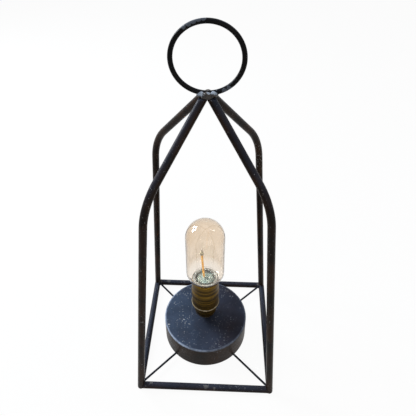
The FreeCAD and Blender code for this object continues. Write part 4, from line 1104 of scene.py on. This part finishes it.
capSet = {
    "below": [(9.0, 84.45), (9.45, 84.45, 0.1), (12.2, 86.6, 0.6), (12.7, 87.6, 0.5)],
    "threadRadius": 12.7, "threadLow": 87.9, "threadHigh": 102.2, "threadStep": 0.3, "wall": 0.45,
    "above": [(12.75, 102.5, 0.3), (14.6, 103.05, 0.4), (14.97, 103.3, 0.2), (14.97, 104.1, 0.35),
              (14.5, 104.55, 0.35), (13.95, 104.45, 0.2), (13.6, 104.05, 0.15), (13.3, 104.05, 0.15),
              (13.05, 104.5, 0.2), (12.6, 104.58, 0.2), (12.25, 104.3, 0.15), (12.25, 102.9), (12.3, 102.2)],
    "inside": [(12.25, 87.9), (11.9, 87.2), (8.95, 84.9)],
    "thread": {"Centre": lampCentre, "Pitch": 3.6 * mm, "Depth": 0.33 * mm, "Run Out": 1.2 * mm}, "sides": 96,
}


def buildBulbCap():
    radius, low, high = capSet["threadRadius"], capSet["threadLow"], capSet["threadHigh"]
    steps = round((high - low) / capSet["threadStep"])
    heights = [low + capSet["threadStep"] * step for step in range(1, steps)]
    outline = softOutline(capSet["below"] + [(radius, low)])
    outline += [Vector((radius, height)) for height in heights]
    outline += softOutline([(radius, high)] + capSet["above"])
    outline += [Vector((radius - capSet["wall"], height)) for height in reversed(heights)]
    outline += [Vector(corner) for corner in capSet["inside"]]
    shell = turnedMesh("bulbCapShell", outline, capSet["sides"])
    thread = {**capSet["thread"], "Low End": low * mm, "High End": high * mm}
    growPiece("bulb_cap_threaded", shell, makeThreadTree(), "bulbAluminium", thread, "bulb",
              ["bulb_cap"])


buildBulbCap()

# foot in millimetres, lean in degrees
filamentSet = {
    "foot": (-4.3, 4.0, 106.0), "length": 36.9, "lean": 3.4, "steps": 141, "sides": 20, "blunt": 60.0,
    "stick": {"Stick Radius": 1.28 * mm, "Chips": 15, "Swell": 0.12},
}


def makeFilamentTree():
    # a stick that swells over each chip and closes at both ends
    tree, given = newShapeTree("chipRow", {
        "Stick Radius": 0.0012, "Chips": 14, "Swell": 0.12})
    line = addNode(tree, "GeometryNodeMeshToCurve", {"Mesh": given["Geometry"]})
    even = addNode(tree, "GeometryNodeResampleCurve",
                   {"Curve": line.outputs[0], "Count": filamentSet["steps"]}, mode="COUNT")
    along = addNode(tree, "GeometryNodeSplineParameter").outputs["Factor"]
    turns = times(tree, times(tree, along, given["Chips"]), math.pi)
    swell = times(tree, calc(tree, "ABSOLUTE", calc(tree, "SINE", turns)), given["Swell"])
    share = minus(tree, 1.0, minus(tree, given["Swell"], swell))
    fromEnds = times(tree, along, minus(tree, 1.0, along))
    ends = times(tree, fromEnds, filamentSet["blunt"], clamp=True)
    share = times(tree, share, calc(tree, "SQRT", ends))
    stick = sweepRound(tree, even.outputs[0], share, given["Stick Radius"], filamentSet["sides"])
    closeTree(tree, stick, given)
    return tree


def buildFilament():
    foot = Vector(filamentSet["foot"])
    lean = math.radians(filamentSet["lean"])
    top = foot + Vector((-math.sin(lean), 0, math.cos(lean))) * filamentSet["length"]
    growPiece("led_filament_stick", pathMesh([foot, top]), makeFilamentTree(), "amberFilament",
              filamentSet["stick"], "bulb", ["led_filament"])


buildFilament()
print("bulb parts made")


# underneath: cover screws with a cross recess, ribs to grip the door and the switch by
# circle and bottom in millimetres, the shares are of the head's height or radius
screwSet = {
    "circle": 45.2, "angles": (30, 150, 270), "bottom": 3.2, "headSides": 40, "shankSides": 24,
    "chamferHeight": 0.4, "chamferFoot": 0.8, "rimHeight": 0.6, "rimMiddle": 0.7, "slotReach": 1.15,
    "screw": {"Head Radius": 2.58 * mm, "Shank Radius": 1.42 * mm, "Seed": 3},
}


def transformed(tree, geometry, **change):
    inputs = {"Geometry": geometry, **{label.capitalize(): value for label, value in change.items()}}
    return addNode(tree, "GeometryNodeTransform", inputs).outputs[0]


def makeScrewTree():
    chosen = screwSet
    tree, given = newShapeTree("crossScrews", {
        "Head Radius": 0.0026, "Head Height": 0.0011, "Shank Radius": 0.0014,
        "Shank Length": 0.009, "Slot": 0.0007, "Seed": 3})
    radius, height = given["Head Radius"], given["Head Height"]
    rim = addNode(tree, "GeometryNodeMeshCylinder", {
        "Vertices": chosen["headSides"], "Radius": radius, "Depth": height}).outputs[0]
    chamfer = addNode(tree, "GeometryNodeMeshCone", {
        "Vertices": chosen["headSides"], "Radius Top": radius,
        "Depth": times(tree, height, chosen["chamferHeight"]),
        "Radius Bottom": times(tree, radius, chosen["chamferFoot"])}).outputs[0]
    rim = transformed(tree, rim, scale=(1, 1, chosen["rimHeight"]))
    rim = transformed(tree, rim, translation=vectorOf(tree, z=times(tree, height, chosen["rimMiddle"])))
    solid = addNode(tree, "GeometryNodeMeshBoolean", operation="UNION")
    tree.links.new(rim, solid.inputs[1])
    tree.links.new(chamfer, solid.inputs[1])
    sunk = addNode(tree, "GeometryNodeMeshBoolean", {0: solid.outputs[0]}, operation="DIFFERENCE")
    reach = times(tree, radius, chosen["slotReach"])
    for first, second in ((reach, given["Slot"]), (given["Slot"], reach)):
        box = addNode(tree, "GeometryNodeMeshCube", {"Size": vectorOf(tree, first, second, height)})
        tree.links.new(box.outputs[0], sunk.inputs[1])
    shank = addNode(tree, "GeometryNodeMeshCylinder", {
        "Vertices": chosen["shankSides"], "Radius": given["Shank Radius"],
        "Depth": given["Shank Length"]}).outputs[0]
    middle = timesPlus(tree, given["Shank Length"], 0.5, height)
    shank = transformed(tree, shank, translation=vectorOf(tree, z=middle))
    screw = addNode(tree, "GeometryNodeJoinGeometry")
    tree.links.new(sunk.outputs[0], screw.inputs[0])
    tree.links.new(shank, screw.inputs[0])
    turn = addNode(tree, "FunctionNodeRandomValue", {3: math.pi, "Seed": given["Seed"]}, data_type="FLOAT")
    rows = addNode(tree, "GeometryNodeInstanceOnPoints", {
        "Points": given["Geometry"], "Instance": screw.outputs[0],
        "Rotation": vectorOf(tree, z=turn.outputs[1])})
    closeTree(tree, rows.outputs[0], given, smooth=False)
    return tree


def buildScrews():
    spots = []
    for angle in screwSet["angles"]:
        spot = aroundAxis(screwSet["circle"], angle, screwSet["bottom"])
        spots.append((spot.x + lampAxis[0], spot.y + lampAxis[1], spot.z))
    source = pathMesh(spots, joined=False)
    growPiece("cover_screws_cross", source, makeScrewTree(), "dullZincSteel", screwSet["screw"], "lantern",
              ["cover_screws"])


buildScrews()


def makeRibTree():
    tree, given = newShapeTree("gripRibs", {
        "Ribs": 5, "Pitch": 0.002, "Rib Radius": 0.0004, "Rib Length": 0.016})
    row = addNode(tree, "GeometryNodeMeshLine", {
        "Count": given["Ribs"], "Offset": vectorOf(tree, y=given["Pitch"])})
    bar = addNode(tree, "GeometryNodeMeshCylinder", {
        "Vertices": 16, "Radius": given["Rib Radius"], "Depth": given["Rib Length"]}).outputs[0]
    lying = transformed(tree, bar, rotation=(0, math.pi / 2, 0))
    spots = addNode(tree, "GeometryNodeInstanceOnPoints", {"Points": row.outputs[0], "Instance": lying})
    starts = addNode(tree, "GeometryNodeInstanceOnPoints", {
        "Points": given["Geometry"], "Instance": spots.outputs[0]})
    closeTree(tree, starts.outputs[0], given)
    return tree


ribTree = makeRibTree()
ribSet = {
    "door_grip_ribs": {
        "start": (lampAxis[0], -18.0, 3.0), "body": "battery_door", "slot": "black_plastic",
        "finish": "blackMoulding",
        "row": {"Ribs": 6, "Pitch": 1.9 * mm, "Rib Radius": 0.38 * mm, "Rib Length": 18.0 * mm}},
    "switch_grip_ribs": {
        "start": (35.6, -3.4, 3.5), "body": "switch_slider", "slot": "grey_plastic", "finish": "greyMoulding",
        "row": {"Ribs": 3, "Pitch": 0.9 * mm, "Rib Radius": 0.2 * mm, "Rib Length": 2.2 * mm}},
}
for name, chosen in ribSet.items():
    growPiece(name, pathMesh([chosen["start"]]), ribTree, chosen["finish"], chosen["row"], chosen["body"])
print("underside made")


# light: soft lamps over a pale floor
lampSet = {
    "windowLeft": {
        "spot": (-1.03, 0.76, 0.86), "size": (0.3, 0.62), "power": 12.5, "colour": (0.86, 0.93, 1.0)},
    "windowRight": {
        "spot": (-1.14, 0.4, 0.86), "size": (0.3, 0.62), "power": 12.5, "colour": (0.86, 0.93, 1.0)},
    "slit": {"spot": (0.85, 0.2, 1.15), "size": (0.1, 0.5), "power": 1.0, "colour": (1.0, 1.0, 1.0)},
    "over": {"spot": (0.1, 0.2, 1.7), "size": (1.2, 1.2), "power": 4.0, "colour": (1.0, 1.0, 1.0)},
    "front": {"spot": (0.5, -1.4, 0.5), "size": (1.2, 0.8), "power": 3.0, "colour": (1.0, 0.94, 0.86)},
}
aimPoint = Vector((0, 0, 0.12))


def setUpLight():
    for name, chosen in lampSet.items():
        data = bpy.data.lights.new(name + "Light", "AREA")
        data.shape = "RECTANGLE"
        data.size, data.size_y = chosen["size"]
        data.energy = chosen["power"]
        data.color = chosen["colour"]
        spot = Vector(chosen["spot"])
        turned = (aimPoint - spot).to_track_quat("-Z", "Y").to_matrix().to_4x4()
        addObject(name + "Light", data).matrix_world = Matrix.Translation(spot) @ turned


def seenRays(tree):
    rays = addNode(tree, "ShaderNodeLightPath").outputs
    seen = calc(tree, "MAXIMUM", rays["Is Camera Ray"], rays["Is Glossy Ray"])
    return calc(tree, "MAXIMUM", seen, rays["Is Transmission Ray"])


def mixedStage(tree, share, plain, shown, output):
    choice = addNode(tree, "ShaderNodeMixShader", {0: share, 1: plain.outputs[0], 2: shown.outputs[0]})
    addNode(tree, output, {0: choice.outputs[0]})


stageSet = {"floorSize": 8.0, "floorTone": 0.86, "worldTone": 0.24, "plainShare": 0.95}


def setUpStage():
    # what is seen or mirrored is plain white; what lights the lamp is softer
    world = bpy.data.worlds.new("softRoom")
    bpy.context.scene.world = world
    world.use_nodes = True
    tree = world.node_tree
    tree.nodes.clear()
    tone = stageSet["worldTone"]
    room = addNode(tree, "ShaderNodeBackground", {0: (tone, tone, tone, 1), 1: 1.0})
    white = addNode(tree, "ShaderNodeBackground", {0: (1, 1, 1, 1), 1: 1.0})
    mixedStage(tree, seenRays(tree), room, white, "ShaderNodeOutputWorld")

    half = stageSet["floorSize"] / 2
    mesh = bpy.data.meshes.new("paleFloor")
    corners = [(-half, -half, 0), (half, -half, 0), (half, half, 0), (-half, half, 0)]
    mesh.from_pydata(corners, [], [range(4)])
    material = bpy.data.materials.new("paleFloorPaint")
    material.use_nodes = True
    tree = material.node_tree
    tree.nodes.clear()
    tone = stageSet["floorTone"]
    matte = addNode(tree, "ShaderNodeBsdfDiffuse", {"Color": (tone, tone, tone, 1)})
    glow = addNode(tree, "ShaderNodeEmission", {"Color": (1, 1, 1, 1), "Strength": 1.0})
    share = times(tree, seenRays(tree), stageSet["plainShare"])
    mixedStage(tree, share, matte, glow, "ShaderNodeOutputMaterial")
    mesh.materials.append(material)
    floor = addObject("paleFloor", mesh)


setUpLight()
setUpStage()
bpy.context.scene.view_settings.view_transform = "Standard"
print("light and floor ready")
